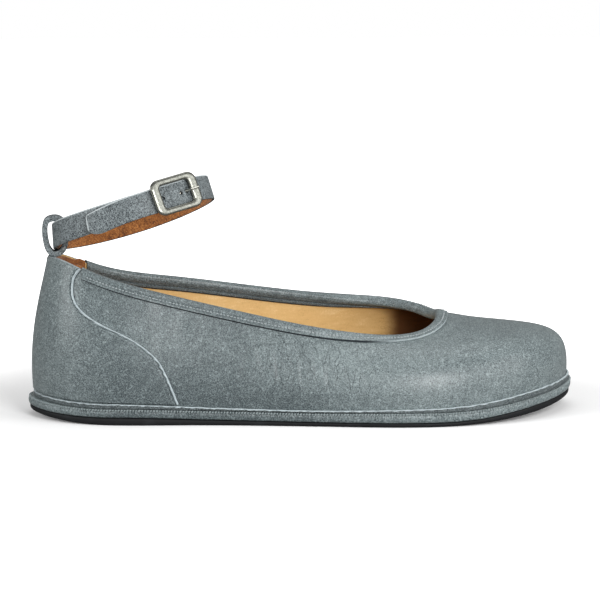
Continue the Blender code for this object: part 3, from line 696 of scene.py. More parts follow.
# Base, light and dark tone of each leather and cut edge.
GREY = ((0.131, 0.165, 0.171), (0.258, 0.308, 0.313), (0.047, 0.064, 0.070))
STRAP_GREY = ((0.104, 0.126, 0.133), (0.222, 0.254, 0.264), (0.030, 0.039, 0.044))
# A darker grey that stands in for shade: painted shade on the rand's grain and on the binding's inner face.
SHADED_GREY = ((0.085, 0.105, 0.110), (0.180, 0.210, 0.215), (0.030, 0.040, 0.044))
PALE_CUT = ((0.40, 0.46, 0.48), (0.60, 0.66, 0.68), (0.20, 0.24, 0.26))
WORN_CUT = ((0.31, 0.36, 0.37), (0.48, 0.54, 0.55), (0.16, 0.20, 0.21))
# A dark tone that stands in for shade: painted shade on the strap's lower edge and on the heel loop's inner
# face.
SHADED_EDGE = ((0.085, 0.09, 0.09), (0.16, 0.17, 0.17), (0.035, 0.033, 0.03))
STRAP_CUT = ((0.42, 0.46, 0.47), (0.62, 0.66, 0.67), (0.22, 0.25, 0.26))
TAN = ((0.66, 0.425, 0.172), (0.78, 0.55, 0.27), (0.48, 0.28, 0.098))
BROWN_SUEDE = ((0.21, 0.070, 0.012), (0.33, 0.125, 0.028), (0.085, 0.025, 0.005))
TAN_SUEDE = ((0.32, 0.112, 0.022), (0.56, 0.23, 0.06), (0.075, 0.022, 0.006))


@dataclass
class Finishes:
    """Every material of the shoe, made once."""

    # The upper's and the rim's leather are darkened low on the quarters: painted shade.
    grain: Material = material_of(PebbledLeather("grey_leather", *GREY, crack_shade=0.22, low_shade=0.46))
    rim_grain: Material = material_of(PebbledLeather("rim_leather", *GREY, pebble=0.95, low_shade=0.50))
    strap_grain: Material = material_of(
        PebbledLeather("strap_leather", *STRAP_GREY, pebble=0.92, wax=0.15, speckle=1.1)
    )
    raw_edge: Material = material_of(RawEdge("raw_edge", *PALE_CUT))
    # The binding's edge is pale in front of the throat and dark behind it: a painted shadow line under the
    # binding.
    binding_edge_and_shadow: Material = material_of(RawEdge("binding_edge_and_shadow", *WORN_CUT, shadow_tone=(0.028, 0.034, 0.038)))
    shaded_grain: Material = material_of(PebbledLeather("shaded_leather", *SHADED_GREY, pebble=0.75, wax=0.15))
    edge_shade: Material = material_of(RawEdge("strap_edge_shade", *SHADED_EDGE))
    cut_edge: Material = material_of(RawEdge("strap_cut", *STRAP_CUT))
    lining: Material = material_of(SmoothLining("tan_lining", *TAN, toe_shadow=(0.10, 0.04, 0.012)))
    grip: Material = material_of(Suede("tan_suede", *BROWN_SUEDE, fibre=0.6))
    strap_back: Material = material_of(Suede("strap_suede", *TAN_SUEDE, fibre=0.75))
    rubber: Material = material_of(Rubber("black_rubber", (0.007, 0.0075, 0.0085), (0.026, 0.028, 0.031)))
    silver: Material = material_of(
        AntiqueSilver("antique_silver", (0.27, 0.275, 0.245), (0.05, 0.05, 0.042))
    )
    # The prong is the frame's metal painted much paler: a painted highlight.
    prong_highlight_silver: Material = material_of(
        AntiqueSilver("prong_highlight_silver", (0.62, 0.62, 0.56), (0.28, 0.28, 0.25))
    )
    rim_thread: Material = material_of(Thread("rim_thread", (0.14, 0.17, 0.175), (0.27, 0.315, 0.32)))
    thread: Material = material_of(Thread("grey_thread", (0.235, 0.27, 0.28), (0.42, 0.46, 0.47)))


@dataclass
class Last:
    """Shape of the shoe's skin and of its sole's edge, as the CAD model has it."""

    length: float = 0.2515
    ball_width: float = 0.0935
    heel_height: float = 0.0660
    throat_height: float = 0.0385
    wall: float = 0.0022
    outsole_thickness: float = 0.0024
    midsole_thickness: float = 0.0042
    toe_spring: float = 0.0066
    heel_spring: float = 0.0026
    toe_roll: float = 0.0717
    heel_roll: float = 0.0327
    rim_overhang: float = 0.0028
    seat_gap: float = 0.0003
    rand_foot: float = 0.0012
    counter_length: float = 0.0830
    ribs: int = 1440
    steps: int = 96
    rim_points: int = 84
    slope_ribs: int = 6
    slope_share: float = 0.02

    def __post_init__(self) -> None:
        """Works out the ribs once, as a fine grid of points and outward normals."""
        foot = np.stack([self.column("foot_x") * self.length, self.column("foot_y") * self.ball_width], 1)
        chords = np.linalg.norm(np.roll(foot, -1, axis=0) - foot, axis=1)
        self.knots = np.concatenate([[0.0], np.cumsum(chords)[:-1]]) / chords.sum()
        self.perimeter = chords.sum()
        even = even_turns(self.rim_points)
        rim = self.rim_outline(even - 0.3 * np.sin(4 * math.pi * even) / (4 * math.pi))
        self.middle = np.append(0.5 * (rim.min(axis=0) + rim.max(axis=0)), 0.0)
        self.grid, self.lengths = self.measured_ribs(even_turns(self.ribs))
        around = self.slope_ribs
        along = np.roll(self.grid, -around, axis=0) - np.roll(self.grid, around, axis=0)
        reach = max(1, round(self.slope_share * self.steps))
        index = np.arange(self.steps + 1)
        above = self.grid[:, np.clip(index + reach, 0, self.steps)]
        below = self.grid[:, np.clip(index - reach, 0, self.steps)]
        self.normals = unit(np.cross(along, above - below))

    def column(self, name: str) -> Array:
        """One column of the rib table."""
        return column(RIBS, RIB_COLUMNS, name)

    def rib_value(self, name: str, u: Array) -> Array:
        """A column of the rib table at places u round the shoe."""
        return closed_spline(self.knots, self.column(name), u)

    def plan(self, part: str, u: Array) -> Array:
        """Plan of the ribs' foot or top at places u."""
        x, y = (self.rib_value(f"{part}_{axis}", u) for axis in "xy")
        return np.stack([x * self.length, y * self.ball_width], -1)

    def outline(self, u: Array, out: Union[float, Array] = 0.0) -> Array:
        """Plan outline of the upper's foot, moved outwards by out."""
        u = np.asarray(u, float)
        step = 1e-4
        ends = [self.plan("foot", u + d) for d in (-step, 0.0, step)]
        along = unit(ends[2] - ends[0])
        outward = np.stack([along[..., 1], -along[..., 0]], -1)
        return ends[1] + outward * np.asarray(out)[..., None]

    def edge_value(self, name: str, x: Array) -> Array:
        """A column of the sole's edge table at places x along the shoe."""
        places = column(SOLE_EDGE, EDGE_COLUMNS, "along")
        return smooth_rows(x / self.length, places, column(SOLE_EDGE, EDGE_COLUMNS, name))

    def rim_outline(self, u: Array, share: float = 1.0, inset: Union[float, Array] = 0.0) -> Array:
        """Plan outline of the sole's rim: a share of its overhang beyond the upper, less an inset."""
        overhang = self.rim_overhang * self.edge_value("rim", self.outline(u)[:, 0])
        return self.outline(u, share * overhang - inset)

    def ground_lift(self, x: Array) -> Array:
        """How far the sole's underside leaves the floor at the toe and at the back of the heel."""
        toe = np.clip((x - self.length + self.toe_roll) / self.toe_roll, 0, None)
        heel = np.clip((self.heel_roll - x) / self.heel_roll, 0, None)
        return self.toe_spring * toe**2.1 + self.heel_spring * heel**1.8

    def outsole_top(self, x: Array) -> Array:
        """Height of the joint between outsole and midsole."""
        return self.ground_lift(x) + self.outsole_thickness * self.edge_value("outsole", x)

    def midsole_top(self, x: Array) -> Array:
        """Height of the midsole's upper face, where the upper stands."""
        return self.outsole_top(x) + self.midsole_thickness * self.edge_value("midsole", x)

    def rib_controls(self, u: Array) -> list[Array]:
        """The four control points of each rib: sole edge, swell, crown and topline."""
        foot = self.outline(u)
        lean = self.outline(u, self.rib_value("lean", u) * self.ball_width)
        top = self.plan("top", u)
        foot_z = self.midsole_top(foot[:, 0]) + self.seat_gap
        low = self.outsole_thickness + self.midsole_thickness + self.throat_height
        top_z = low + self.rib_value("rise", u) * (self.heel_height - self.throat_height)
        rise = top_z - foot_z
        crown = top + (foot - top) * self.rib_value("run", u)[:, None]
        heights = (
            (foot, foot_z),
            (lean, foot_z + self.rib_value("lift", u) * rise),
            (crown, top_z - self.rib_value("drop", u) * rise),
            (top, top_z),
        )
        return [levelled(plan, height) for plan, height in heights]

    def measured_ribs(self, u: Array) -> tuple[Array, Array]:
        """Points at even steps of length along each rib.

        Args:
            u: places round the shoe.

        Returns:
            Points shaped (ribs, steps + 1, 3), and each rib's length.
        """
        fine = np.linspace(0, 1, 121)
        weights = [(1 - fine) ** 3, 3 * (1 - fine) ** 2 * fine, 3 * (1 - fine) * fine**2, fine**3]
        curve = sum(w[None, :, None] * c[:, None, :] for w, c in zip(weights, self.rib_controls(u)))
        pieces = np.linalg.norm(np.diff(curve, axis=1), axis=2)
        travelled = np.concatenate([np.zeros((len(u), 1)), np.cumsum(pieces, axis=1)], 1)
        shares = np.linspace(0, 1, self.steps + 1)
        found = np.empty((len(u), self.steps + 1, 3))
        for k in range(len(u)):
            for axis in range(3):
                found[k, :, axis] = np.interp(shares * travelled[k, -1], travelled[k], curve[k, :, axis])
        return found, travelled[:, -1]

    def looked_up(self, grid: Array, u: Array, share: Array) -> Array:
        """Values of a grid of the ribs at any place between them."""
        u, share = np.broadcast_arrays(np.asarray(u, float), np.asarray(share, float))
        a = np.mod(u, 1.0) * self.ribs
        b = np.clip(share, 0, 1) * self.steps
        i, j = np.floor(a).astype(int), np.minimum(np.floor(b).astype(int), self.steps - 1)
        s, t = (a - i)[..., None], (b - j)[..., None]
        i, k = i % self.ribs, (i + 1) % self.ribs
        low = grid[i, j] * (1 - s) + grid[k, j] * s
        high = grid[i, j + 1] * (1 - s) + grid[k, j + 1] * s
        return low * (1 - t) + high * t

    def point(self, u: Array, share: Array) -> Array:
        """Points of the bare skin."""
        return self.looked_up(self.grid, u, share)

    def normal(self, u: Array, share: Array) -> Array:
        """Outward normals of the skin."""
        return unit(self.looked_up(self.normals, u, share))

    def skin(self, u: Array, share: Array, out: Union[float, Array] = 0.0) -> Array:
        """Points of the skin, moved outwards by out along its normal."""
        return self.point(u, share) + self.normal(u, share) * np.asarray(out)[..., None]

    def rib_length(self, u: Array) -> Array:
        """Length of each rib from the sole to the topline."""
        places = np.arange(self.ribs + 1) / self.ribs
        return np.interp(np.mod(u, 1.0), places, np.append(self.lengths, self.lengths[0]))

    def counter_reach(self, share: Array) -> Array:
        """How far the counter reaches from the middle of the heel, in turns, at a share of the height."""
        shares = column(COUNTER_SEAM, COUNTER_COLUMNS, "height")
        reach = smooth_rows(share, shares, column(COUNTER_SEAM, COUNTER_COLUMNS, "reach"))
        return reach * self.counter_length / self.perimeter


@dataclass
class Surface:
    """Points and faces of one piece while it is made, and the finish of each face."""

    name: str
    last: Last
    finishes: dict[Face, Material]
    points: list[Array] = field(default_factory=list)
    faces: list[tuple[int, ...]] = field(default_factory=list)
    slots: list[int] = field(default_factory=list)

    def start(self) -> int:
        """Number of the next point."""
        return sum(len(block) for block in self.points)

    def bridge(self, rings: Array, bands: Sequence[Face], along: bool, across: bool, first: int) -> None:
        """Adds quads between neighbouring rows of a grid.

        Args:
            rings: points shaped (rows, columns, 3).
            bands: finish of each band between two rows.
            along: whether the last column joins the first.
            across: whether the last row joins the first.
            first: number of the grid's first point.
        """
        rows, cols = len(rings), len(rings[0])
        for i in range(rows if across else rows - 1):
            for j in range(cols if along else cols - 1):
                a, b = i * cols + j, i * cols + (j + 1) % cols
                c, d = ((i + 1) % rows) * cols + (j + 1) % cols, ((i + 1) % rows) * cols + j
                self.faces.append((first + a, first + b, first + c, first + d))
                self.slots.append(bands[i % len(bands)].value)

    def tube(
        self, sections: Sequence[Array], bands: Sequence[Face], closed: bool, cap: Face = Face.EDGE
    ) -> "Surface":
        """Adds a strip swept along rows of corner points, ringed round the shoe or closed by end caps."""
        first, count = self.start(), len(sections[0])
        rings = np.array(sections)
        self.points.append(rings.reshape(-1, 3))
        self.bridge(rings, bands, closed, True, first)
        if not closed:
            self.faces.append(tuple(first + i * count for i in range(len(sections))))
            self.faces.append(tuple(first + i * count + count - 1 for i in reversed(range(len(sections)))))
            self.slots += [cap.value] * 2
        return self

    def plate(self, rings: Sequence[Array], bands: Sequence[Face], ends: tuple[Face, Face]) -> "Surface":
        """Adds a closed plate from rings round the shoe, its first and last ring closed by rungs."""
        first, count = self.start(), len(rings[0])
        stack = np.array(rings)
        self.points.append(stack.reshape(-1, 3))
        self.bridge(stack, bands, True, False, first)
        for begin, finish in ((first, ends[0]), (first + (len(rings) - 1) * count, ends[1])):
            rungs = [(begin, begin + 1, begin + count - 1)]
            for k in range(1, count // 2 - 1):
                rungs.append((begin + k, begin + k + 1, begin + count - k - 1, begin + count - k))
            middle = begin + count // 2
            rungs.append((middle - 1, middle, middle + 1))
            self.faces += rungs
            self.slots += [finish.value] * len(rungs)
        return self

    def patch(self, outer: Array, inner: Array, front: Sequence[Face], back: Face, rim: Face) -> "Surface":
        """Adds a closed patch between two grids of points.

        Args:
            outer: outer points shaped (rows, columns, 3).
            inner: inner points of the same shape.
            front: finish of each column of outer faces.
            back: finish of the inner faces.
            rim: finish of the faces round its edge.

        Returns:
            This surface.
        """
        first = self.start()
        rows, cols = outer.shape[:2]
        count = rows * cols
        self.points += [outer.reshape(-1, 3), inner.reshape(-1, 3)]
        for i in range(rows - 1):
            for j in range(cols - 1):
                a = first + i * cols + j
                self.faces.append((a, a + 1, a + cols + 1, a + cols))
                self.slots.append(front[j].value)
                self.faces.append((a + count, a + count + cols, a + count + cols + 1, a + count + 1))
                self.slots.append(back.value)
        edge = [(0, j) for j in range(cols)] + [(i, cols - 1) for i in range(1, rows)]
        edge += [(rows - 1, j) for j in reversed(range(cols - 1))]
        edge += [(i, 0) for i in reversed(range(1, rows - 1))]
        numbers = [first + i * cols + j for i, j in edge]
        for a, b in zip(numbers, numbers[1:] + numbers[:1]):
            self.faces.append((a, b, b + count, a + count))
            self.slots.append(rim.value)
        return self

    def piece(self, sharp: float = 50.0) -> bpy.types.Object:
        """Makes the object, with its faces outward and its place in its mesh.

        Args:
            sharp: angle in degrees past which an edge stays sharp.

        Returns:
            The object, linked to the scene.
        """
        mesh = bpy.data.meshes.new(self.name)
        points = np.concatenate(self.points) - self.last.middle
        mesh.from_pydata(points.tolist(), [], [tuple(map(int, f)) for f in self.faces])
        used = sorted({Face(s) for s in self.slots}, key=lambda face: face.value)
        for face in used:
            mesh.materials.append(self.finishes[face])
        order = {face.value: k for k, face in enumerate(used)}
        mesh.polygons.foreach_set("material_index", [order[s] for s in self.slots])
        work = bmesh.new()
        work.from_mesh(mesh)
        bmesh.ops.recalc_face_normals(work, faces=work.faces)
        work.to_mesh(mesh)
        work.free()
        mesh.shade_smooth()
        mesh.set_sharp_from_angle(angle=math.radians(sharp))
        return linked(self.name, mesh)


def settle(piece: bpy.types.Object, slot: str, *nodes: str) -> None:
    """Fixes a finished piece to the shoe.

    Args:
        piece: the piece.
        slot: a material slot's name; not used.
        nodes: CAD nodes that it stands for.
    """
    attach(piece, "root")
    if nodes:
        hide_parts(*nodes)
    piece.data.calc_loop_triangles()
    log.info("%s: %d triangles", piece.name, len(piece.data.loop_triangles))


@dataclass(frozen=True)
class Repeat:
    """Geometry Nodes tree that sets one small form at each place of a row."""

    name: str
    form: Form
    length: float
    width: float
    height: float
    wobble: float = 0.0
    seed: int = 7

    def tree(self) -> bpy.types.NodeTree:
        """Builds the tree with named inputs for its sizes."""
        tree = bpy.data.node_groups.new(self.name, "GeometryNodeTree")
        face = tree.interface
        face.new_socket("Geometry", in_out="INPUT", socket_type="NodeSocketGeometry")
        for name in ("Length", "Width", "Height", "Wobble"):
            face.new_socket(name, in_out="INPUT", socket_type="NodeSocketFloat")
        face.new_socket("Finish", in_out="INPUT", socket_type="NodeSocketMaterial")
        face.new_socket("Geometry", in_out="OUTPUT", socket_type="NodeSocketGeometry")

        def add(kind: str, inputs: dict[Union[int, str], object], **settings: object) -> bpy.types.Node:
            """Adds a node with its settings, then its values or links."""
            node = tree.nodes.new(kind)
            for key, value in settings.items():
                setattr(node, key, value)
            for key, value in inputs.items():
                if isinstance(value, bpy.types.NodeSocket):
                    tree.links.new(value, node.inputs[key])
                else:
                    node.inputs[key].default_value = value
            return node

        sizes = tree.nodes.new("NodeGroupInput").outputs
        along, outward = (
            add("GeometryNodeInputNamedAttribute", {"Name": name}, data_type="FLOAT_VECTOR").outputs[0]
            for name in ("along", "outward")
        )
        turn = "FunctionNodeAlignRotationToVector"
        upright = add(turn, {"Vector": outward}, axis="Z").outputs[0]
        turned = add(turn, {"Rotation": upright, "Vector": along}, axis="X", pivot_axis="Z")
        if self.form is Form.STITCH:
            small = add("GeometryNodeMeshUVSphere", {"Segments": 8, "Rings": 6, "Radius": 0.5})
        else:
            cone = {"Vertices": 6, "Radius Top": 0.36, "Radius Bottom": 0.5, "Depth": 0.5}
            small = add("GeometryNodeMeshCone", cone)
        chance = add("FunctionNodeRandomValue", {"Seed": self.seed}, data_type="FLOAT")
        limits = [socket for socket in chance.inputs if socket.type == "VALUE"]
        for socket, operation in zip(limits, ("SUBTRACT", "ADD")):
            limit = add("ShaderNodeMath", {0: 1.0, 1: sizes["Wobble"]}, operation=operation)
            tree.links.new(limit.outputs[0], socket)
        factor = next(socket for socket in chance.outputs if socket.type == "VALUE")
        size = add("ShaderNodeCombineXYZ", {0: sizes["Length"], 1: sizes["Width"], 2: sizes["Height"]})
        scaled = add("ShaderNodeVectorMath", {0: size.outputs[0], "Scale": factor}, operation="SCALE")
        set_out = add("GeometryNodeInstanceOnPoints", {
            "Points": sizes["Geometry"],
            "Instance": small.outputs["Mesh"],
            "Rotation": turned.outputs[0],
            "Scale": scaled.outputs[0],
        })
        real = add("GeometryNodeRealizeInstances", {"Geometry": set_out.outputs[0]})
        smooth = {"Geometry": real.outputs[0], "Shade Smooth": self.form is Form.STITCH}
        shaded = add("GeometryNodeSetShadeSmooth", smooth)
        finish = {"Geometry": shaded.outputs[0], "Material": sizes["Finish"]}
        dressed = add("GeometryNodeSetMaterial", finish)
        tree.links.new(dressed.outputs[0], tree.nodes.new("NodeGroupOutput").inputs[0])
        return tree

    def along(
        self, name: str, places: Array, directions: Array, outward: Array, finish: Material
    ) -> bpy.types.Object:
        """Sets the forms out.

        Args:
            name: the piece's name.
            places: points in the shoe's own place.
            directions: which way each form lies.
            outward: which way each form faces.
            finish: material of the forms.

        Returns:
            A plain mesh object.
        """
        mesh = bpy.data.meshes.new(name)
        mesh.from_pydata(places.tolist(), [], [])
        for key, values in (("along", directions), ("outward", outward)):
            attribute = mesh.attributes.new(key, "FLOAT_VECTOR", "POINT")
            attribute.data.foreach_set("vector", np.asarray(values, float).ravel())
        guide = linked(f"{name}_guide", mesh)
        tree = self.tree()
        modifier = guide.modifiers.new(self.name, "NODES")
        modifier.node_group = tree
        values = {
            "Length": self.length,
            "Width": self.width,
            "Height": self.height,
            "Wobble": self.wobble,
            "Finish": finish,
        }
        for item in tree.interface.items_tree:
            if item.item_type == "SOCKET" and item.in_out == "INPUT" and item.name in values:
                modifier[item.identifier] = values[item.name]
        evaluated = guide.evaluated_get(bpy.context.evaluated_depsgraph_get())
        plain = bpy.data.meshes.new_from_object(evaluated)
        bpy.data.objects.remove(guide)
        for key in ("along", "outward"):
            if key in plain.attributes:
                plain.attributes.remove(plain.attributes[key])
        plain.name = name
        return linked(name, plain)


def row_places(path: Array, outward: Array, pitch: float) -> tuple[Array, Array, Array]:
    """Even places along a path for a row of stitches.

    Args:
        path: points of the path.
        outward: outward direction at each of them.
        pitch: distance between stitches.

    Returns:
        Places, directions along the path, and outward directions.
    """
    travelled = travelled_along(path)
    wanted = np.arange(0.5 * pitch, travelled[-1], pitch)

    def at(values: Array, where: Array) -> Array:
        """Values at lengths along the path."""
        return np.stack([np.interp(where, travelled, values[:, axis]) for axis in range(3)], -1)

    places = at(path, wanted)
    directions = unit(at(path, wanted + 0.2 * pitch) - at(path, wanted - 0.2 * pitch))
    return places, directions, unit(at(outward, wanted))


@dataclass
class Sole:
    """Thin rubber outsole with its tread, the leather-wrapped midsole and the footbed."""

    last: Last
    finishes: Finishes
    around: int = 2400
    outsole_inset: float = 0.0007
    edge_round: float = 0.0008
    insole_thickness: float = 0.0018
    tread_depth: float = 0.0005
    stud_pitch: float = 0.0050
    stud_size: float = 0.0042
    tread_margin: float = 0.0045
    rim_bump: float = 0.00024
    whip_pitch: float = 0.00135
    whip_slant: float = math.radians(52.0)
    plain_points: int = 480
    border_points: int = 720

    def rim_band(self, u: Array) -> tuple[Array, Array, Array]:
        """Foot and top of the midsole's side and how far it stands out, at places u."""
        last = self.last
        x = last.outline(u)[:, 0]
        return last.outsole_top(x), last.midsole_top(x), last.rim_overhang * last.edge_value("rim", x)

    def build_outsole(self) -> None:
        """Rubber sole with a rounded lower edge, its underside set back by the depth of the tread."""
        last = self.last
        u = even_turns(self.plain_points)
        rings = []
        rounding = ((5.0, 0.62), (3.4, 0.62), (3.0, 0.15), (1.0, 0.0), (0.45, 0.12), (0.12, 0.45), (0.0, 1.0))
        for inset, up in rounding:
            ring = last.rim_outline(u, 1.0, self.outsole_inset + inset * self.edge_round)
            rings.append(levelled(ring, last.ground_lift(ring[:, 0]) + up * self.edge_round))
        side = last.rim_outline(u, 1.0, self.outsole_inset)
        top = last.outsole_top(side[:, 0]) - last.seat_gap
        rings.append(levelled(side, 0.6 * (last.ground_lift(side[:, 0]) + self.edge_round) + 0.4 * top))
        rings.append(levelled(last.rim_outline(u, 1.0, self.outsole_inset + 0.00005), top - 0.00015))
        rings.append(levelled(last.rim_outline(u, 1.0, self.outsole_inset + 0.0003), top))
        surface = Surface("outsole_rubber", last, {Face.GRAIN: self.finishes.rubber})
        surface.plate(rings, [Face.GRAIN], (Face.GRAIN, Face.GRAIN))
        settle(surface.piece(60), "black_rubber", "outsole")

    def build_tread(self) -> None:
        """Low six-sided studs all over the underside, inside its plain border."""
        last = self.last
        border = last.rim_outline(even_turns(self.border_points), 1.0, self.outsole_inset + self.tread_margin)
        low, high = border.min(axis=0), border.max(axis=0)
        pitch = self.stud_pitch
        rows = np.arange(low[1], high[1], pitch * math.sqrt(0.75))
        places = []
        for k, y in enumerate(rows):
            for x in np.arange(low[0] + (0.5 * pitch if k % 2 else 0.0), high[0], pitch):
                places.append((x, y))
        places = np.array(places)
        inside = np.zeros(len(places), bool)
        ends = np.roll(border, -1, axis=0)
        for (x0, y0), (x1, y1) in zip(border, ends):
            crosses = (y0 > places[:, 1]) != (y1 > places[:, 1])
            if crosses.any():
                at = x0 + (places[:, 1] - y0) * (x1 - x0) / (y1 - y0 + 1e-12)
                inside ^= crosses & (places[:, 0] < at)
        places = places[inside]
        step = 0.0005
        height = last.ground_lift(places[:, 0])
        slope = (last.ground_lift(places[:, 0] + step) - last.ground_lift(places[:, 0] - step)) / (2 * step)
        along = unit(np.column_stack([np.ones(len(places)), np.zeros(len(places)), slope]))
        outward = np.column_stack([along[:, 2], np.zeros(len(places)), -along[:, 0]])
        seats = levelled(places, height) - last.middle - outward * self.tread_depth
        studs = Repeat("tread_studs", Form.STUD, self.stud_size, self.stud_size, 2 * self.tread_depth)
        made = studs.along("tread", seats, along, outward, self.finishes.rubber)
        settle(made, "black_rubber")

    def build_rim(self) -> None:
        """Midsole wrapped in leather that swells out beyond the upper, lumpy along its upper edge."""
        last = self.last
        u = even_turns(self.around)
        low, high, overhang = self.rim_band(u)
        groove = last.rand_foot + last.seat_gap
        lumps = ripple(u, 400, 640, 9, 11) * 0.75 + ripple(u, 150, 300, 7, 12) * 0.4
        folds = ripple(u, 500, 800, 9, 13)
        rows = (
            (0.72, 0.00, 0.0, 0.0),
            (0.86, 0.05, 0.0, 0.1),
            (0.95, 0.15, 0.1, 0.3),
            (0.99, 0.30, 0.2, 0.4),
            (1.00, 0.45, 0.4, 0.5),
            (0.98, 0.60, 0.6, 0.5),
            (0.93, 0.72, 0.9, 0.4),
            (0.86, 0.82, 1.0, 0.3),
            (0.76, 0.91, 1.0, 0.2),
            (0.66, 0.96, 0.8, 0.1),
        )
        rings = []
        for share, up, lump, fold in rows:
            push = self.rim_bump * (lump * lumps + 0.6 * fold * folds)
            reach = np.maximum(share * overhang + push, groove + 0.00005)
            rings.append(levelled(last.outline(u, reach), low + up * (high - low) + 0.7 * push))
        rings.append(levelled(last.outline(u, groove), low + 0.94 * (high - low)))
        rings.append(levelled(last.outline(u, groove - 2 * last.seat_gap), high))
        surface = Surface("rim_wrap", last, {Face.GRAIN: self.finishes.rim_grain})
        surface.plate(rings, [Face.GRAIN], (Face.GRAIN, Face.GRAIN))
        settle(surface.piece(), "grey_leather", "midsole")

    def build_rim_stitches(self) -> None:
        """Short slanted stitches along the rim's upper edge, round the whole sole."""
        last = self.last
        u = np.linspace(0, 1, 3000)
        low, high, overhang = self.rim_band(u)
        plan = last.outline(u, 0.78 * overhang + self.rim_bump)
        path = levelled(plan, low + 0.90 * (high - low)) - last.middle
        sideways = last.outline(u, 0.001) - last.outline(u, 0.0)
        outward = unit(levelled(sideways, np.full(len(u), 0.0009)))
        places, along, facing = row_places(path, outward, self.whip_pitch)
        along = along * math.cos(self.whip_slant) + np.cross(facing, along) * math.sin(self.whip_slant)
        stitch = Repeat(
            "whip_stitches", Form.STITCH, length=0.00130, width=0.00076, height=0.00090, wobble=0.20, seed=9
        )
        settle(stitch.along("rim_stitches", places, along, facing, self.finishes.rim_thread), "grey_leather")

    def build_insole(self) -> None:
        """Tan footbed with a softly rounded edge."""
        last = self.last
        u = even_turns(self.plain_points)
        inset = last.wall + 2 * last.seat_gap
        rings = []
        for extra, up in ((0.0, 0.0), (0.0, 0.6), (0.15, 0.85), (0.5, 1.0), (2.5, 1.02)):
            plan = last.outline(u, -(inset + extra * self.insole_thickness))
            height = last.midsole_top(plan[:, 0]) + last.seat_gap + up * self.insole_thickness
            rings.append(levelled(plan, height))
        surface = Surface("footbed", last, {Face.GRAIN: self.finishes.lining})
        surface.plate(rings, [Face.GRAIN], (Face.GRAIN, Face.GRAIN))
        settle(surface.piece(), "tan_leather", "insole")

    def build(self) -> None:
        """Makes every piece of the sole."""
        self.build_outsole()
        self.build_tread()
        self.build_rim()
        self.build_rim_stitches()
        self.build_insole()


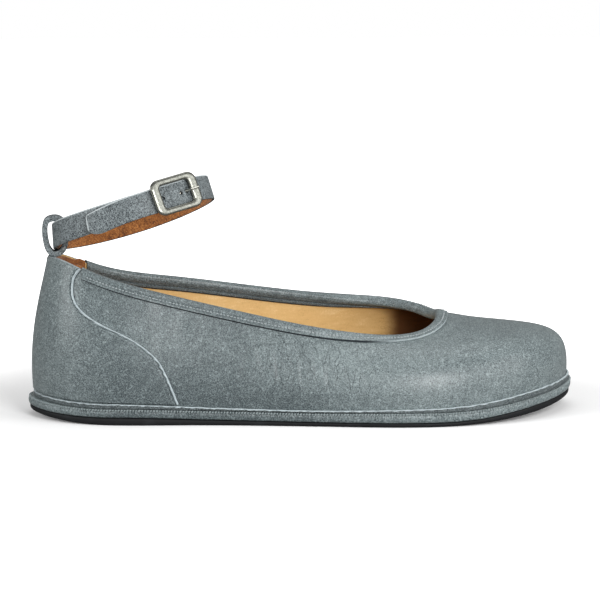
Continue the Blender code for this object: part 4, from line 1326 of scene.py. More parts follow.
@dataclass
class Upper:
    """The lasted skin with its lining, and the pieces sewn on it."""

    last: Last
    finishes: Finishes
    around: int = 720
    upward: int = 84
    lining_rows: int = 28
    strip_points: int = 900
    calm_share: float = 0.12
    swell_height: float = 0.00009
    rand_cut: float = 0.00028
    throat_from: float = 0.150
    throat_run: float = 0.016
    rand_height: float = 0.0026
    rand_thickness: float = 0.0009
    counter_thickness: float = 0.0010
    raw_edge: float = 0.00105
    binding_width: float = 0.0044
    binding_thickness: float = 0.0009
    shadow_line: float = 0.00028
    lining_depth: float = 0.0340
    lining_length: float = 0.0366
    lining_thickness: float = 0.0010
    lining_rise: float = 0.0016
    stitch_pitch: float = 0.0022
    binding_pitch: float = 0.0016
    stitch_margin: float = 0.004
    seam_inset: float = 0.0022
    top_inset: float = 0.0015
    seam_points: int = 240

    def leather(self) -> dict[Face, Material]:
        """Finishes of a piece of the upper's leather."""
        kit = self.finishes
        return {Face.GRAIN: kit.grain, Face.LINING: kit.lining, Face.EDGE: kit.raw_edge}

    def crease_depth(self, points: Array) -> Array:
        """How far the leather sinks at points of the skin, for every crease in the table."""
        placed = points - self.last.middle
        total = np.zeros(points.shape[:-1])
        for x0, z0, x1, z1, depth, width, side in CREASES:
            start, end = np.array([x0, z0]) * 1e-3, np.array([x1, z1]) * 1e-3
            across = placed[..., [0, 2]] - start
            span = end - start
            t = np.clip((across @ span) / (span @ span), 0, 1)
            distance = np.linalg.norm(across - t[..., None] * span, axis=-1) / (width * 1e-3)
            hollow = np.exp(-(distance**2)) - 0.45 * np.exp(-((distance - 1.9) ** 2))
            fade = np.sin(math.pi * np.clip(0.08 + 0.84 * t, 0, 1))
            near = (np.sign(placed[..., 1]) == side) | (np.abs(placed[..., 1]) < 1e-4)
            total += depth * 1e-3 * hollow * fade * near
        return total

    def build_skin(self) -> None:
        """Outer skin with its creases, and the tan lining inside."""
        last = self.last
        u = even_turns(self.around)
        heights = np.linspace(0, 1, self.upward + 1)
        grid_u, grid_s = np.meshgrid(u, heights)
        bare = last.point(grid_u, grid_s)
        edge = ease(grid_s / self.calm_share) * ease((1 - grid_s) / self.calm_share)
        swell = 0.5 * ripple(grid_u + 0.04 * grid_s, 14, 34, 6, 21)
        swell += 0.5 * ripple(grid_u - 0.03 * grid_s, 20, 60, 6, 22)
        swell *= np.cos(7 * grid_s + 9 * np.sin(2 * math.pi * grid_u))
        out = edge * (self.swell_height * swell - self.crease_depth(bare))
        outer = bare + last.normal(grid_u, grid_s) * out[..., None]
        inner_u, inner_s = np.meshgrid(u, np.linspace(1, 0, self.lining_rows + 1))
        inner = last.skin(inner_u, inner_s, -last.wall)
        inner[-1, :, 2] = outer[0, :, 2]
        bands = [Face.GRAIN] * self.upward + [Face.EDGE] + [Face.LINING] * self.lining_rows + [Face.EDGE]
        surface = Surface("upper_leather", last, self.leather())
        surface.tube(list(outer) + list(inner), bands, True)
        settle(surface.piece(), "grey_leather", "upper")

    def build_rand(self) -> None:
        """Narrow strip round the foot of the upper, its cut edge on top."""
        last = self.last
        u = even_turns(self.strip_points)
        x = last.outline(u)[:, 0]
        tall = self.rand_height * last.edge_value("rand", x)
        wave = 1 + 0.05 * ripple(u, 30, 90, 6, 31)
        share = tall * wave / last.rib_length(u)
        cut = self.rand_cut * (1 + 0.5 * ripple(u, 60, 200, 8, 32)) / last.rib_length(u)
        full = last.seat_gap + self.rand_thickness
        rows = [last.skin(u, 0 * u, last.seat_gap), last.skin(u, 0 * u, last.rand_foot)]
        for row in rows:
            row[:, 2] = last.midsole_top(row[:, 0]) + last.seat_gap
        for part in (0.3, 0.6, 0.85):
            rows.append(last.skin(u, part * (share - cut), last.rand_foot + part * (full - last.rand_foot)))
        rows.append(last.skin(u, share - cut, full))
        rows.append(last.skin(u, share - 0.3 * cut, last.seat_gap + 0.75 * self.rand_thickness))
        rows.append(last.skin(u, share, last.seat_gap + 0.2 * self.rand_thickness))
        rows.append(last.skin(u, share, last.seat_gap))
        bands = [Face.GRAIN] * 5 + [Face.EDGE] * 3 + [Face.GRAIN]
        # The rand's grain below its pale edge takes the darker grey: painted shade.
        surface = Surface("rand_strip", last, {**self.leather(), Face.GRAIN: self.finishes.shaded_grain})
        surface.tube(rows, bands, True)
        settle(surface.piece(), "grey_leather", "rand")

    def seam_slope(self, share: Array) -> Array:
        """How much longer a cut across the counter's front edge is when it runs level."""
        step = 0.004
        reach = [self.last.counter_reach(share + d) * self.last.perimeter for d in (-step, step)]
        tall = self.last.rib_length(self.last.counter_reach(share))
        return np.hypot(1.0, (reach[1] - reach[0]) / (2 * step * tall))

    def build_counter(self) -> None:
        """Heel counter: a panel over the back of the upper with a pale cut edge in front."""
        last = self.last
        rows, columns = 120, 141
        foot = 1.25 * self.rand_height / last.heel_height
        share = np.linspace(foot, 1, rows)
        reach = last.counter_reach(share)
        edge = self.raw_edge * self.seam_slope(share) / last.perimeter
        even = np.linspace(-1, 1, columns)
        spread = np.sign(even) * np.abs(even) ** 1.2
        body = (reach - 1.8 * edge)[:, None] * spread[None, :]
        wander = 1 + 0.22 * ripple(share, 9, 40, 8, 51)
        inset = np.array([1.5, 1.25, 1.05, 0.85, 0.6, 0.3, 0.0])
        welt = np.array([0.95, 0.40, 0.30, 0.80, 1.10, 0.85, 0.12])
        right = reach[:, None] - (edge * wander)[:, None] * inset[None, :]
        u = np.concatenate([-right[:, ::-1], body, right], 1)
        grid_s = np.repeat(share[:, None], u.shape[1], 1)
        thick = np.concatenate([welt[::-1], np.ones(columns), welt])
        thick = np.repeat(thick[None, :], rows, 0)
        thick[-1] *= 0.55
        thick[-2] *= 0.9
        outer = last.skin(u, grid_s, last.seat_gap + self.counter_thickness * thick)
        inner = last.skin(u, grid_s, last.seat_gap)
        front = [Face.EDGE] * 4 + [Face.GRAIN] * (u.shape[1] - 9) + [Face.EDGE] * 4
        surface = Surface("heel_counter_leather", last, self.leather())
        surface.patch(outer, inner, front, Face.GRAIN, Face.EDGE)
        settle(surface.piece(), "grey_leather", "heel_counter")

    def build_heel_grip(self) -> None:
        """Tan suede patch inside the heel, a little higher than the collar."""
        last = self.last
        rows, columns = 30, 61
        spread = np.linspace(-1, 1, columns)
        u = np.repeat((spread * self.lining_length / last.perimeter)[None, :], rows, 0)
        depth = self.lining_depth / last.heel_height * (1 - 0.35 * np.abs(spread) ** 3)
        share = 1 - depth[None, :] * np.linspace(1, 0, rows)[:, None]
        rise = self.lining_rise * (ease((np.abs(spread) - 0.80) / 0.12) - 0.35)
        up = unit(last.point(u[0], 1.0) - last.point(u[0], 0.94)) * rise[:, None]
        lift = ease((np.arange(rows) - rows + 5) / 4.0)[:, None, None]
        thin = np.ones((rows, columns))
        thin[-1] = 0.6
        thin[0] = 0.5
        outer, inner = (
            last.skin(u, share, -last.wall - last.seat_gap - inset) + up[None] * lift
            for inset in (0.0, self.lining_thickness * thin)
        )
        surface = Surface("heel_grip", last, {**self.leather(), Face.LINING: self.finishes.grip})
        surface.patch(outer, inner, [Face.LINING] * (columns - 1), Face.LINING, Face.LINING)
        settle(surface.piece(), "tan_leather", "heel_lining")

    def counter_end(self) -> float:
        """Place u of the counter's front edge at the topline."""
        return float(self.last.counter_reach(np.array([1.0]))[0])

    def binding_start(self) -> float:
        """Place u where the binding starts, at the front edge of the counter."""
        return self.counter_end() + 2 * self.last.seat_gap / self.last.perimeter

    def build_binding(self) -> None:
        """Leather strip folded over the topline, with a raw lower edge outside and a crease inside."""
        last = self.last
        start = self.binding_start()
        u = np.linspace(start, 1 - start, self.strip_points)
        edge = last.point(u, 1.0)
        up = unit(edge - last.point(u, 0.94))
        out = last.normal(u, np.ones_like(u))
        tall = last.rib_length(u)
        near, far, thick = last.seat_gap, -last.wall - last.seat_gap, self.binding_thickness
        front = ease((edge[:, 0] - self.throat_from) / self.throat_run)
        lip = 0.00004 + 0.00012 * front
        skirt = thick * (1 - 0.35 * front)
        bumps = 0.00006 * ripple(u, 200, 380, 9, 41) + 0.00005 * ripple(u, 90, 160, 6, 42)

        def low(depth: Union[float, Array], outward: Union[float, Array]) -> Array:
            """Points a depth under the topline, outward from the skin."""
            return last.skin(u, 1 - depth / tall, outward)

        def over(outward: Union[float, Array], upward: float) -> Array:
            """Points beside and above the topline."""
            return edge + out * np.broadcast_to(outward, u.shape)[:, None] + up * upward

        width, inside = self.binding_width, 1.28 * self.binding_width
        sections = [
            # A thin fillet under the binding's lower edge, widest behind the throat, carries the painted
            # shadow line.
            low(width + self.shadow_line * (1.1 - front), 0.5 * near),
            low(width, near + 0.35 * skirt),
            low(width - 0.5 * lip, near + 0.8 * skirt),
            low(width - lip, near + skirt + bumps),
            low(0.74 * width, near + 1.12 * skirt + bumps),
            low(0.64 * width, near + 0.80 * thick),
            low(0.56 * width, near + 0.76 * thick),
            low(0.46 * width, near + 1.05 * thick + 0.5 * bumps),
            low(0.22 * width, near + 1.1 * thick),
            over(near + thick, last.seat_gap * 0.8),
            over(near + 0.55 * thick, last.seat_gap + 0.55 * thick),
            over(-0.15 * last.wall, last.seat_gap + 0.95 * thick),
            over(-0.5 * last.wall, last.seat_gap + 1.05 * thick),
            over(-0.85 * last.wall, last.seat_gap + 0.95 * thick),
            over(far - 0.55 * thick, last.seat_gap + 0.5 * thick),
            over(far - thick, last.seat_gap * 0.5),
            low(0.25 * inside, far - 1.1 * thick),
            low(0.52 * inside, far - 0.95 * thick),
            low(0.66 * inside, far - 0.10 * thick),
            low(0.73 * inside, far - 0.80 * thick + bumps),
            low(0.90 * inside, far - 0.75 * thick + bumps),
            low(inside, far - 0.2 * thick),
            low(inside, far),
            over(far, last.seat_gap),
            over(near, last.seat_gap),
        ]
        bands = [Face.EDGE] * 3 + [Face.GRAIN] * 13 + [Face.CUT] * 4 + [Face.EDGE] * 3 + [Face.GRAIN] * 2
        # Inside the topline, below the roll, the binding takes the darker grey: painted shade.
        surface = Surface("topline_binding", last, {
            **self.leather(),
            Face.EDGE: self.finishes.binding_edge_and_shadow,
            Face.CUT: self.finishes.shaded_grain,
        })
        surface.tube(sections, bands, False)
        settle(surface.piece(), "grey_leather", "collar_binding")

    def stitch_row(self, u: Array, share: Array, out: float, pitch: float) -> tuple[Array, Array, Array]:
        """Places and directions of a row of stitches on a line of the skin.

        Args:
            u: places of the line round the shoe.
            share: its places between sole and topline.
            out: how far the stitches lie outside the skin.
            pitch: distance between them.

        Returns:
            Places, directions along the line, and outward directions.
        """
        path = self.last.skin(u, share, self.last.seat_gap + out) - self.last.middle
        return row_places(path, self.last.normal(u, share), pitch)

    def build_stitches(self) -> None:
        """Rows of stitches on the binding and on the counter."""
        last = self.last
        start = self.binding_start() + self.stitch_margin
        u = np.linspace(start, 1 - start, self.strip_points)
        share = 1 - 0.60 * self.binding_width / last.rib_length(u)
        row = self.stitch_row(u, share, 0.98 * self.binding_thickness, self.binding_pitch)
        stitch = Repeat(
            "seam_stitches", Form.STITCH, length=0.0012, width=0.00056, height=0.00050, wobble=0.15, seed=5
        )
        settle(stitch.along("binding_stitches", *row, self.finishes.thread), "grey_leather")
        shares = np.linspace(0.08, 0.97, self.seam_points)
        inset = self.seam_inset * self.seam_slope(shares) / last.perimeter
        reach = self.counter_end() - self.stitch_margin
        top = np.linspace(-reach, reach, self.seam_points)
        lines = [(side * (last.counter_reach(shares) - inset), shares) for side in (1, -1)]
        lines.append((top, 1 - self.top_inset / last.rib_length(top)))
        rows = [self.stitch_row(*line, self.counter_thickness, self.stitch_pitch) for line in lines]
        merged = [np.concatenate(parts) for parts in zip(*rows)]
        fine = Repeat(
            "fine_stitches", Form.STITCH, length=0.0011, width=0.00040, height=0.00036, wobble=0.15, seed=6
        )
        settle(fine.along("counter_stitches", *merged, self.finishes.rim_thread), "grey_leather")

    def build(self) -> None:
        """Makes every piece of the upper."""
        self.build_skin()
        self.build_rand()
        self.build_counter()
        self.build_heel_grip()
        self.build_binding()
        self.build_stitches()


@dataclass
class AnkleRing:
    """The tilted ring that the ankle strap lies on, with the buckle's own axes."""

    last: Last
    strap_width: float = 0.0115
    strap_thickness: float = 0.0016
    length: float = 0.0775
    breadth: float = 0.0610
    pitch: float = math.radians(17.0)
    roll: float = math.radians(12.5)
    sag: float = 0.0015
    flare: float = 0.24
    bend_ahead: float = 0.00112
    bend_above: float = 0.00889
    buckle_turn: float = math.radians(57.0)
    frame_length: float = 0.0242
    bar_radius: float = 0.00075
    bar_gap: float = 0.00045

    def bar_offset(self) -> float:
        """Distance from the strap's middle line to the middle of the bar that it folds round."""
        return self.bar_radius + self.bar_gap + 0.5 * self.strap_thickness

    def axes(self) -> tuple[Array, Array, Array, Array]:
        """Middle of the ring and its axes: forward, towards the inner side, and across the strap."""
        forward = np.array([math.cos(self.pitch), 0.0, math.sin(self.pitch)])
        square = np.array([-math.sin(self.pitch), 0.0, math.cos(self.pitch)])
        inward = np.array([0.0, 1.0, 0.0])
        side = inward * math.cos(self.roll) - square * math.sin(self.roll)
        across = square * math.cos(self.roll) + inward * math.sin(self.roll)
        bend = self.last.point(np.zeros(1), np.ones(1))[0] + np.array([self.bend_ahead, 0.0, self.bend_above])
        return bend + 0.5 * self.length * forward, forward, side, across

    def half(self) -> Array:
        """Half axes of the strap's middle line."""
        return 0.5 * np.array([self.length - self.strap_thickness, self.breadth - self.strap_thickness])

    def plan(self, angle: Array) -> Array:
        """Plan of the middle line: angle 0 at the buckle, growing forwards round the front."""
        turn = np.asarray(angle, float) - self.buckle_turn
        return np.stack([self.half()[0] * np.cos(turn), self.half()[1] * np.sin(turn)], -1)

    def outward(self, angle: Array) -> Array:
        """Outward normal of the ring's plan."""
        turn = np.asarray(angle, float) - self.buckle_turn
        return unit(np.stack([self.half()[1] * np.cos(turn), self.half()[0] * np.sin(turn)], -1))

    def placed(self, plan: Array, across_by: Array) -> Array:
        """Ring plan points and distances across the strap, as points of the shoe.

        Args:
            plan: points in the ring's plan.
            across_by: distance of each across the strap.

        Returns:
            Points in the last's own place.
        """
        middle, forward, side, across = self.axes()
        plan, across_by = np.asarray(plan, float), np.asarray(across_by, float)
        hang = self.sag * (2 * plan[..., 1] / self.breadth) ** 2
        spread = self.flare * across_by * np.clip(-2 * plan[..., 0] / self.length, 0, None)
        flat = (plan[..., 0] + spread)[..., None] * forward + plan[..., 1:2] * side
        return middle + flat + (across_by - hang)[..., None] * across

    def buckle_axes(self) -> tuple[Array, Array, Array, Array]:
        """Middle of the buckle, and its axes: along the strap forwards, outwards, and across."""
        line = self.placed(self.plan(np.array([-0.02, 0.0, 0.02])), np.zeros(3))
        along = unit(line[2] - line[0])
        ends = self.placed(self.plan(np.zeros(2)), 0.5 * self.strap_width * np.array([1, -1]))
        outward = unit(np.cross(along, ends[0] - ends[1]))
        return line[1], along, outward, np.cross(outward, along)

    def in_buckle(self, along_by: Array, out_by: Array, across_by: Array) -> Array:
        """Points given in the buckle's own axes."""
        middle, along, outward, across = self.buckle_axes()
        parts = [np.asarray(v, float)[..., None] for v in (along_by, out_by, across_by)]
        return middle + parts[0] * along + parts[1] * outward + parts[2] * across


@dataclass
class AnkleStrap:
    """Grey leather strap with a suede back, its punched holes, and the loop that holds it at the heel."""

    last: Last
    ring: AnkleRing
    finishes: Finishes
    tip_length: float = 0.0414
    tip_taper: float = 0.0050
    tip_droop: float = 0.0024
    tip_lift: float = 0.0011
    lifted_length: float = 0.012
    tip_thinning: float = 0.35
    thinned_length: float = 0.0012
    pale_face: float = 0.0007
    pale_corner: float = 0.0090
    fold_length: float = 0.0130
    hole_radius: float = 0.0008
    hole_places: tuple[float, ...] = (0.0029, -0.0059)
    loop_width: float = 0.0085
    loop_thickness: float = 0.0021
    loop_height: float = 0.0177

    def path(self) -> tuple[Array, Array, Array]:
        """Middle line of the strap from its free tip through the buckle and round to its fold.

        Returns:
            Plan points, how far the free end droops at each, and the length travelled.
        """
        ring = self.ring
        turn = 2 * math.pi
        fine = np.linspace(-turn, turn, 3201)
        plan = ring.plan(fine)
        travelled = travelled_along(plan)
        travelled -= np.interp(0.0, fine, travelled)
        whole = np.interp(turn, fine, travelled)

        def at(length: Array, offset: Array) -> Array:
            """Plan points at lengths round the ring, moved outwards."""
            angle = np.interp(length, travelled, fine)
            return ring.plan(angle) + ring.outward(angle) * np.asarray(offset)[..., None]

        thick = ring.strap_thickness
        layer = thick + self.last.seat_gap
        bight = ring.bar_offset()
        half_frame = 0.5 * ring.frame_length
        free = np.linspace(-self.tip_length, ring.frame_length, 150)
        tip_steps = np.array([0.0, 0.01, 0.03, 0.07, 0.13, 0.2, 0.3, 0.42, 0.62, 0.84])
        free = np.unique(np.concatenate([self.tip_taper * tip_steps - self.tip_length, free]))
        lift = layer * (1 - ease((free - half_frame) / half_frame))
        lift += self.tip_lift * ease((self.lifted_length - self.tip_length - free) / self.lifted_length)
        round_ring = np.linspace(ring.frame_length, whole, 240)[1:]
        centre = at(np.array([whole]), np.array([-bight]))[0]
        out = ring.outward(np.interp(whole, travelled, fine))
        along = np.array([-out[1], out[0]])
        sweep = np.linspace(0.5 * math.pi, -0.5 * math.pi, 21)[1:-1]
        bend = centre + bight * (np.cos(sweep)[:, None] * along + np.sin(sweep)[:, None] * out)
        back = np.linspace(0, self.fold_length, 24)
        settled = ease(back / self.fold_length)
        fold = at(whole - back, -2 * bight * (1 - settled) - layer * settled)
        path = np.concatenate([at(free, lift), at(round_ring, np.zeros(len(round_ring))), bend, fold])
        droop = np.zeros(len(path))
        reach = np.clip((free + 0.4 * self.tip_length) / (0.6 * self.tip_length), -1, 0)
        droop[: len(free)] = self.tip_droop * reach**2
        return path, droop, travelled_along(path)

    def half_width(self, lengths: Array, lower: bool) -> Array:
        """Width from the middle line to one edge, rounded at the free end and most on its lower corner.

        Args:
            lengths: lengths along the strap from its tip.
            lower: whether the lower edge is wanted.

        Returns:
            Distances across the strap.
        """
        reach, start = (1.6 * self.tip_taper, 0.05) if lower else (0.3 * self.tip_taper, 0.80)
        t = np.clip(lengths / reach, 0, 1)
        full = start + (1 - start) * np.sqrt(1 - (1 - t) ** 2)
        slope = 0.0 if lower else 0.04 * (1 - ease(lengths / (3.6 * self.tip_taper)))
        return 0.5 * self.ring.strap_width * (full - slope)

    def leather(self) -> dict[Face, Material]:
        """Finishes of the strap: grain outside, suede inside, a dark painted shade on its lower edge, and a
        pale cut edge on its upper edge and ends.
        """
        kit = self.finishes
        return {
            Face.GRAIN: kit.strap_grain,
            Face.LINING: kit.strap_back,
            Face.EDGE: kit.edge_shade,
            Face.CUT: kit.cut_edge,
        }

    def section(self) -> tuple[list[tuple[float, float]], list[Face]]:
        """Corners of the strap's section, across and outward, and the finish between them."""
        across = (0.90, 0.6, 0, -0.6, -0.93, -0.985, -1, -1, -0.97, -0.6, 0, 0.6, 0.97, 1, 1, 0.985)
        outward = (0.97, 1, 1, 1, 0.97, 0.7, 0.2, -0.5, -0.95, -1, -1, -1, -0.95, -0.5, 0.2, 0.7)
        bands = [Face.GRAIN] * 5 + [Face.EDGE] * 3 + [Face.LINING] * 4 + [Face.CUT] * 4
        return list(zip(across, outward)), bands

    def cutter(self, name: str, sections: Sequence[Array]) -> bpy.types.Object:
        """A hidden tool that opens a hole in the strap."""
        surface = Surface(name, self.last, {face: self.finishes.edge_shade for face in Face})
        surface.tube(sections, [Face.EDGE], False)
        return surface.piece()

    def punch(self, index: int, place: float) -> bpy.types.Object:
        """Round punch through the free end, at a length along it from the middle bar."""
        ring = self.ring
        steps = np.linspace(-1, 1, 801)
        plans = ring.plan(steps)
        travelled = travelled_along(plans)
        angle = np.interp(place, travelled - np.interp(0.0, steps, travelled), steps)
        plan, out = ring.plan(angle), ring.outward(angle)
        start = plan + out * 0.5 * (ring.strap_thickness + self.last.seat_gap)
        centres = ring.placed(np.stack([start, plan + out * 4 * ring.strap_thickness]), np.zeros(2))
        along = unit(np.gradient(centres, axis=0))
        across = np.broadcast_to(ring.axes()[3], along.shape)
        second = np.cross(along, across)
        angles = 2 * math.pi * even_turns(20)
        ring_points = [math.cos(a) * across + math.sin(a) * second for a in angles]
        return self.cutter(f"punch_{index}", [centres + self.hole_radius * around for around in ring_points])

    def pale_tip(self, surface: Surface, bands: Sequence[Face], lengths: Array) -> None:
        """Gives the free end a pale cut edge, across its face and round its lower corner."""
        steps = len(lengths) - 1
        for row, band in enumerate(bands):
            reach = {Face.GRAIN: self.pale_face, Face.EDGE: self.pale_corner}.get(band, 0.0)
            for step in range(int(np.searchsorted(lengths[1:], reach, "right"))):
                surface.slots[row * steps + step] = Face.CUT.value

    def build_strap(self, buckle: "Buckle") -> None:
        """Makes the strap and opens its holes and the slot for the prong."""
        path, droop, lengths = self.path()
        along = unit(np.gradient(path, axis=0))
        normals = np.stack([along[:, 1], -along[:, 0]], -1)
        upper, lower = self.half_width(lengths, False), self.half_width(lengths, True)
        thin = 1 - self.tip_thinning * np.exp(-lengths / self.thinned_length)
        corners, bands = self.section()
        sections = []
        for across, face in corners:
            plan = path + normals * (face * 0.5 * self.ring.strap_thickness * thin)[:, None]
            across_by = 0.5 * (upper - lower) + across * 0.5 * (upper + lower)
            sections.append(self.ring.placed(plan, across_by - droop))
        surface = Surface("ankle_strap_leather", self.last, self.leather())
        surface.tube(sections, bands, False, Face.CUT)
        self.pale_tip(surface, bands, lengths)
        strap = surface.piece()
        cutters = [self.punch(k, place) for k, place in enumerate(self.hole_places)]
        room = buckle.prong_sections(buckle.prong_radius + self.last.seat_gap, 12)
        cutters.append(self.cutter("prong_room", room))
        for tool in cutters:
            cut = strap.modifiers.new(tool.name, "BOOLEAN")
            cut.operation = "DIFFERENCE"
            cut.solver = "EXACT"
            cut.object = tool
        evaluated = strap.evaluated_get(bpy.context.evaluated_depsgraph_get())
        mesh = bpy.data.meshes.new_from_object(evaluated)
        strap.modifiers.clear()
        strap.data = mesh
        mesh.name = strap.name
        for tool in cutters:
            bpy.data.objects.remove(tool)
        settle(strap, "grey_leather", "ankle_strap")

    def build_loop(self) -> None:
        """Doubled strip that rises from the collar, passes over the strap and comes back down."""
        heel = self.last.point(np.zeros(1), np.ones(1))[0]
        knots, turn = even_turns(len(LOOP_PATH)), even_turns(140)
        ahead, above = (
            self.loop_height * closed_spline(knots, column(LOOP_PATH, LOOP_COLUMNS, name), turn)
            for name in LOOP_COLUMNS
        )
        middle = np.stack([heel[0] + ahead, heel[2] + above], -1)
        along = unit(np.roll(middle, -1, axis=0) - np.roll(middle, 1, axis=0))
        normal = np.stack([along[:, 1], -along[:, 0]], -1)
        corners, bands = self.section()
        sections = []
        for across, face in corners:
            plan = middle + normal * (face * 0.5 * self.loop_thickness + (0.0003 if face > 0 else -0.0002))
            sideways = np.full(len(plan), across * 0.5 * self.loop_width)
            sections.append(np.column_stack([plan[:, 0], sideways, plan[:, 1]]))
        # The loop's inner face takes the dark tone: painted shade.
        grain, back = self.finishes.strap_grain, self.finishes.edge_shade
        finishes = {Face.GRAIN: grain, Face.LINING: back, Face.EDGE: grain, Face.CUT: grain}
        surface = Surface("heel_loop_leather", self.last, finishes)
        surface.tube(sections, bands, True)
        settle(surface.piece(), "grey_leather", "heel_loop")

    def build(self, buckle: "Buckle") -> None:
        """Makes the strap and its loop."""
        self.build_strap(buckle)
        self.build_loop()


@dataclass
class Buckle:
    """Antique silver frame with its middle bar, and the prong."""

    last: Last
    ring: AnkleRing
    finishes: Finishes
    end: float = 0.0045
    rail: float = 0.0031
    thickness: float = 0.0020
    corner: float = 0.0044
    inner_corner: float = 0.0015
    side_clearance: float = -0.0004
    prong_radius: float = 0.0006

    def height(self) -> float:
        """How far the middle of the frame's thickness lies outside the strap's middle line."""
        half = 0.5 * self.ring.frame_length - self.end
        return (
            1.5 * self.ring.strap_thickness
            + 3 * self.last.seat_gap
            - half**2 / self.ring.length
            + 0.5 * self.thickness
        )

    def rounded(self, length: float, width: float, corner: float) -> Array:
        """Rounded rectangle in the buckle's plane, along and across."""
        points = []
        quarter = np.linspace(0, 0.5 * math.pi, 14)
        for k, (sx, sy) in enumerate(((1, 1), (-1, 1), (-1, -1), (1, -1))):
            centre = np.array([sx * (0.5 * length - corner), sy * (0.5 * width - corner)])
            angles = quarter + k * 0.5 * math.pi
            points += [centre + corner * np.array([math.cos(a), math.sin(a)]) for a in angles]
        return np.array(points)

    def swept(
        self, centres: Array, radius: float, sides: int, guide: Array, ends: float = 1.0
    ) -> list[Array]:
        """Sections of a round bar along centres.

        Args:
            centres: points of its middle line.
            radius: its radius.
            sides: corners of its section.
            guide: a direction that the middle line is never parallel to.
            ends: share of the radius at both ends.

        Returns:
            One row of points for each corner of the section.
        """
        along = unit(np.gradient(centres, axis=0))
        first = unit(np.cross(along, guide))
        second = np.cross(along, first)
        radii = np.full(len(centres), radius)
        radii[[0, -1]] *= ends
        angles = np.arange(sides) * 2 * math.pi / sides
        return [centres + radii[:, None] * (math.cos(a) * first + math.sin(a) * second) for a in angles]

    def prong_sections(self, radius: float, sides: int) -> list[Array]:
        """Sections of the prong: an eye round the middle bar, a rise, and a rest on the front bar."""
        bar_out = -self.ring.bar_offset()
        eye = self.ring.bar_radius + self.last.seat_gap + self.prong_radius
        rest = self.height() + 0.5 * self.thickness + self.last.seat_gap + self.prong_radius
        target = np.array([0.5 * self.ring.frame_length - self.end + 0.0002, rest])
        knee = np.array([0.94 * target[0], -0.10 * rest])
        span = knee - np.array([0.0, bar_out])
        leave = math.atan2(span[1], span[0]) - math.asin(eye / np.linalg.norm(span)) + 0.5 * math.pi
        turns = np.linspace(leave + math.radians(285), leave, 31)
        hook = np.stack([eye * np.cos(turns), bar_out + eye * np.sin(turns)], -1)
        t = np.linspace(0, 1, 24)[1:, None]
        before = np.array([0.96 * target[0], 0.97 * rest])
        rise = (1 - t) ** 3 * hook[-1] + 3 * (1 - t) ** 2 * t * knee
        rise = rise + 3 * (1 - t) * t**2 * before + t**3 * target
        flat = target + np.stack([np.linspace(0, 0.8 * self.end, 6)[1:], np.zeros(5)], -1)
        path = np.concatenate([hook, rise, flat])
        centres = self.ring.in_buckle(path[:, 0], path[:, 1], np.zeros(len(path)))
        return self.swept(centres, radius, sides, self.ring.buckle_axes()[3], 0.6)

    def build_frame(self) -> None:
        """Frame of rounded bars, and the set-back middle bar that the strap folds round."""
        inner_width = self.ring.strap_width + 2 * self.side_clearance
        width = inner_width + 2 * self.rail
        rings = []
        for a in 2 * math.pi * even_turns(18):
            cosine, sine = math.cos(a), math.sin(a)
            share = 0.5 - 0.5 * math.copysign(abs(cosine) ** 0.8, cosine)
            up = 0.5 * math.copysign(abs(sine) ** (0.8 if sine > 0 else 0.5), sine)
            corner = self.corner + share * (self.inner_corner - self.corner)
            length = self.ring.frame_length - 2 * share * self.end
            ring = self.rounded(length, width - 2 * share * self.rail, corner)
            out = np.full(len(ring), self.height() + up * self.thickness)
            rings.append(self.ring.in_buckle(ring[:, 0], out, ring[:, 1]))
        reach = 0.5 * (inner_width + self.rail)
        low = -self.ring.bar_offset()
        turn = np.linspace(0, 0.5 * math.pi, 7)
        bend = 1.2 * self.ring.bar_radius
        outs = np.concatenate([[self.height()], low + bend * (1 - np.sin(turn))])
        inward = np.concatenate([[0.0], bend * (1 - np.cos(turn))])
        outs = np.concatenate([outs, outs[::-1]])
        sideways = np.concatenate([-reach + inward, (reach - inward)[::-1]])
        centres = self.ring.in_buckle(np.zeros(len(outs)), outs, sideways)
        bar = self.swept(centres, self.ring.bar_radius, 16, self.ring.buckle_axes()[1])
        surface = Surface("buckle_frame_metal", self.last, {face: self.finishes.silver for face in Face})
        surface.tube(rings, [Face.GRAIN], True)
        surface.tube(bar, [Face.GRAIN], False)
        settle(surface.piece(60), "steel", "buckle_frame")

    def build_prong(self) -> None:
        """The prong."""
        # Its paler metal is a painted highlight.
        metal = {face: self.finishes.prong_highlight_silver for face in Face}
        surface = Surface("buckle_prong_metal", self.last, metal)
        surface.tube(self.prong_sections(self.prong_radius, 14), [Face.GRAIN], False)
        settle(surface.piece(60), "steel", "buckle_prong")

    def build(self) -> None:
        """Makes the frame and the prong."""
        self.build_frame()
        self.build_prong()


# Soft lights: name, place, size and power in watts.
SOFTBOXES = (
    ("softbox_key", (1.10, -0.60, 0.56), 0.85, 8.4),
    ("softbox_sheen", (0.32, -1.07, 0.43), 0.44, 10.4),
    ("softbox_fill", (-1.15, -0.50, 0.52), 0.6, 8.5),
    ("softbox_top", (0.10, 0.15, 1.2), 0.9, 3.6),
)


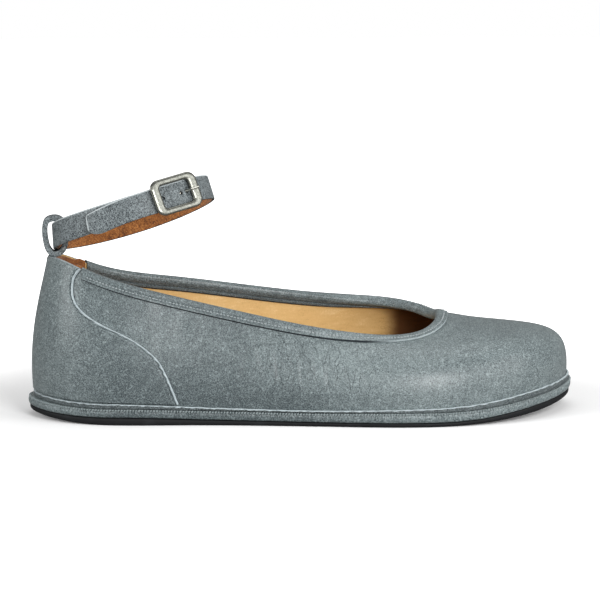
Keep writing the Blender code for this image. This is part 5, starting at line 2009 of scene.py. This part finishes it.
@dataclass
class Studio:
    """Pale floor, soft light and the camera at the photograph's angle."""

    azimuth: float = math.radians(-4.0)
    elevation: float = math.radians(8.0)
    distance: float = 1.5
    aim: tuple[float, float, float] = (-0.00115, 0.0, 0.0526)
    lens: float = 191.7
    floor_glow: float = 0.08
    surroundings: float = 0.285
    floor_seen: float = 0.93
    floor_bounce: float = 0.36
    floor_size: float = 3.0
    glow_from: tuple[float, float] = (140.0, 300.0)

    def build_camera(self) -> None:
        """Makes the camera and sets it as the scene's."""
        data = bpy.data.cameras.new("camera")
        data.lens = self.lens
        data.sensor_width = 36.0
        data.clip_start = 0.05
        data.clip_end = 20.0
        camera = linked("camera", data)
        level = math.cos(self.elevation)
        side, front = math.sin(self.azimuth) * level, -math.cos(self.azimuth) * level
        back = Vector((side, front, math.sin(self.elevation)))
        camera.location = Vector(self.aim) + back * self.distance
        camera.rotation_euler = back.to_track_quat("Z", "Y").to_euler()
        bpy.context.scene.camera = camera

    def build_floor(self) -> None:
        """Large pale floor under the shoe."""
        mesh = bpy.data.meshes.new("floor")
        size = self.floor_size
        corners = [(-size, -size, 0), (size, -size, 0), (size, size, 0), (-size, size, 0)]
        mesh.from_pydata(corners, [], [(0, 1, 2, 3)])
        graph = Graph("floor_white", {"Specular IOR Level": 0.1})
        graph.shader.inputs["Emission Color"].default_value = (1.0, 1.0, 1.0, 1.0)
        seen = graph.node("ShaderNodeLightPath", {}, {}, "Is Camera Ray")
        place = graph.millimetres()
        away = graph.node("ShaderNodeVectorMath", {"operation": "LENGTH"}, {"Vector": place}, "Value")
        glow = seen * (self.floor_glow + away.between(*self.glow_from))
        graph.tree.links.new(glow.output, graph.shader.inputs["Emission Strength"])
        shade = graph.mix(seen, (self.floor_bounce,) * 3, (self.floor_seen,) * 3)
        mesh.materials.append(graph.finish(shade, 0.9, None, 0.0))
        linked("floor", mesh)

    def area(self, name: str, place: Sequence[float], size: float, power: float) -> None:
        """Soft light at a place, turned to the shoe."""
        data = bpy.data.lights.new(name, "AREA")
        data.shape = "SQUARE"
        data.size = size
        data.energy = power
        lamp = linked(name, data)
        lamp.location = place
        lamp.rotation_euler = (Vector(place) - Vector((0.0, 0.0, 0.04))).to_track_quat("Z", "Y").to_euler()

    def build_light(self) -> None:
        """White surroundings and softboxes."""
        world = bpy.data.worlds.new("studio_white")
        world.use_nodes = True
        background = world.node_tree.nodes["Background"]
        background.inputs["Color"].default_value = (1.0, 1.0, 1.0, 1.0)
        path = world.node_tree.nodes.new("ShaderNodeLightPath")
        level = world.node_tree.nodes.new("ShaderNodeMapRange")
        level.inputs["To Min"].default_value = self.surroundings
        world.node_tree.links.new(path.outputs["Is Camera Ray"], level.inputs["Value"])
        world.node_tree.links.new(level.outputs["Result"], background.inputs["Strength"])
        bpy.context.scene.world = world
        for name, place, size, power in SOFTBOXES:
            self.area(name, place, size, power)
        bpy.context.scene.view_settings.view_transform = "Standard"

    def build(self) -> None:
        """Makes the whole studio."""
        self.build_camera()
        self.build_floor()
        self.build_light()


def main() -> None:
    """Builds the studio and each sub-assembly in order."""
    logging.basicConfig(level=logging.INFO, format="%(name)s %(message)s")
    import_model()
    Studio().build()
    finishes = Finishes()
    last = Last()
    ring = AnkleRing(last)
    buckle = Buckle(last, ring, finishes)
    Sole(last, finishes).build()
    Upper(last, finishes).build()
    AnkleStrap(last, ring, finishes).build(buckle)
    buckle.build()
    bpy.context.view_layer.update()


if __name__ == "__main__":
    main()
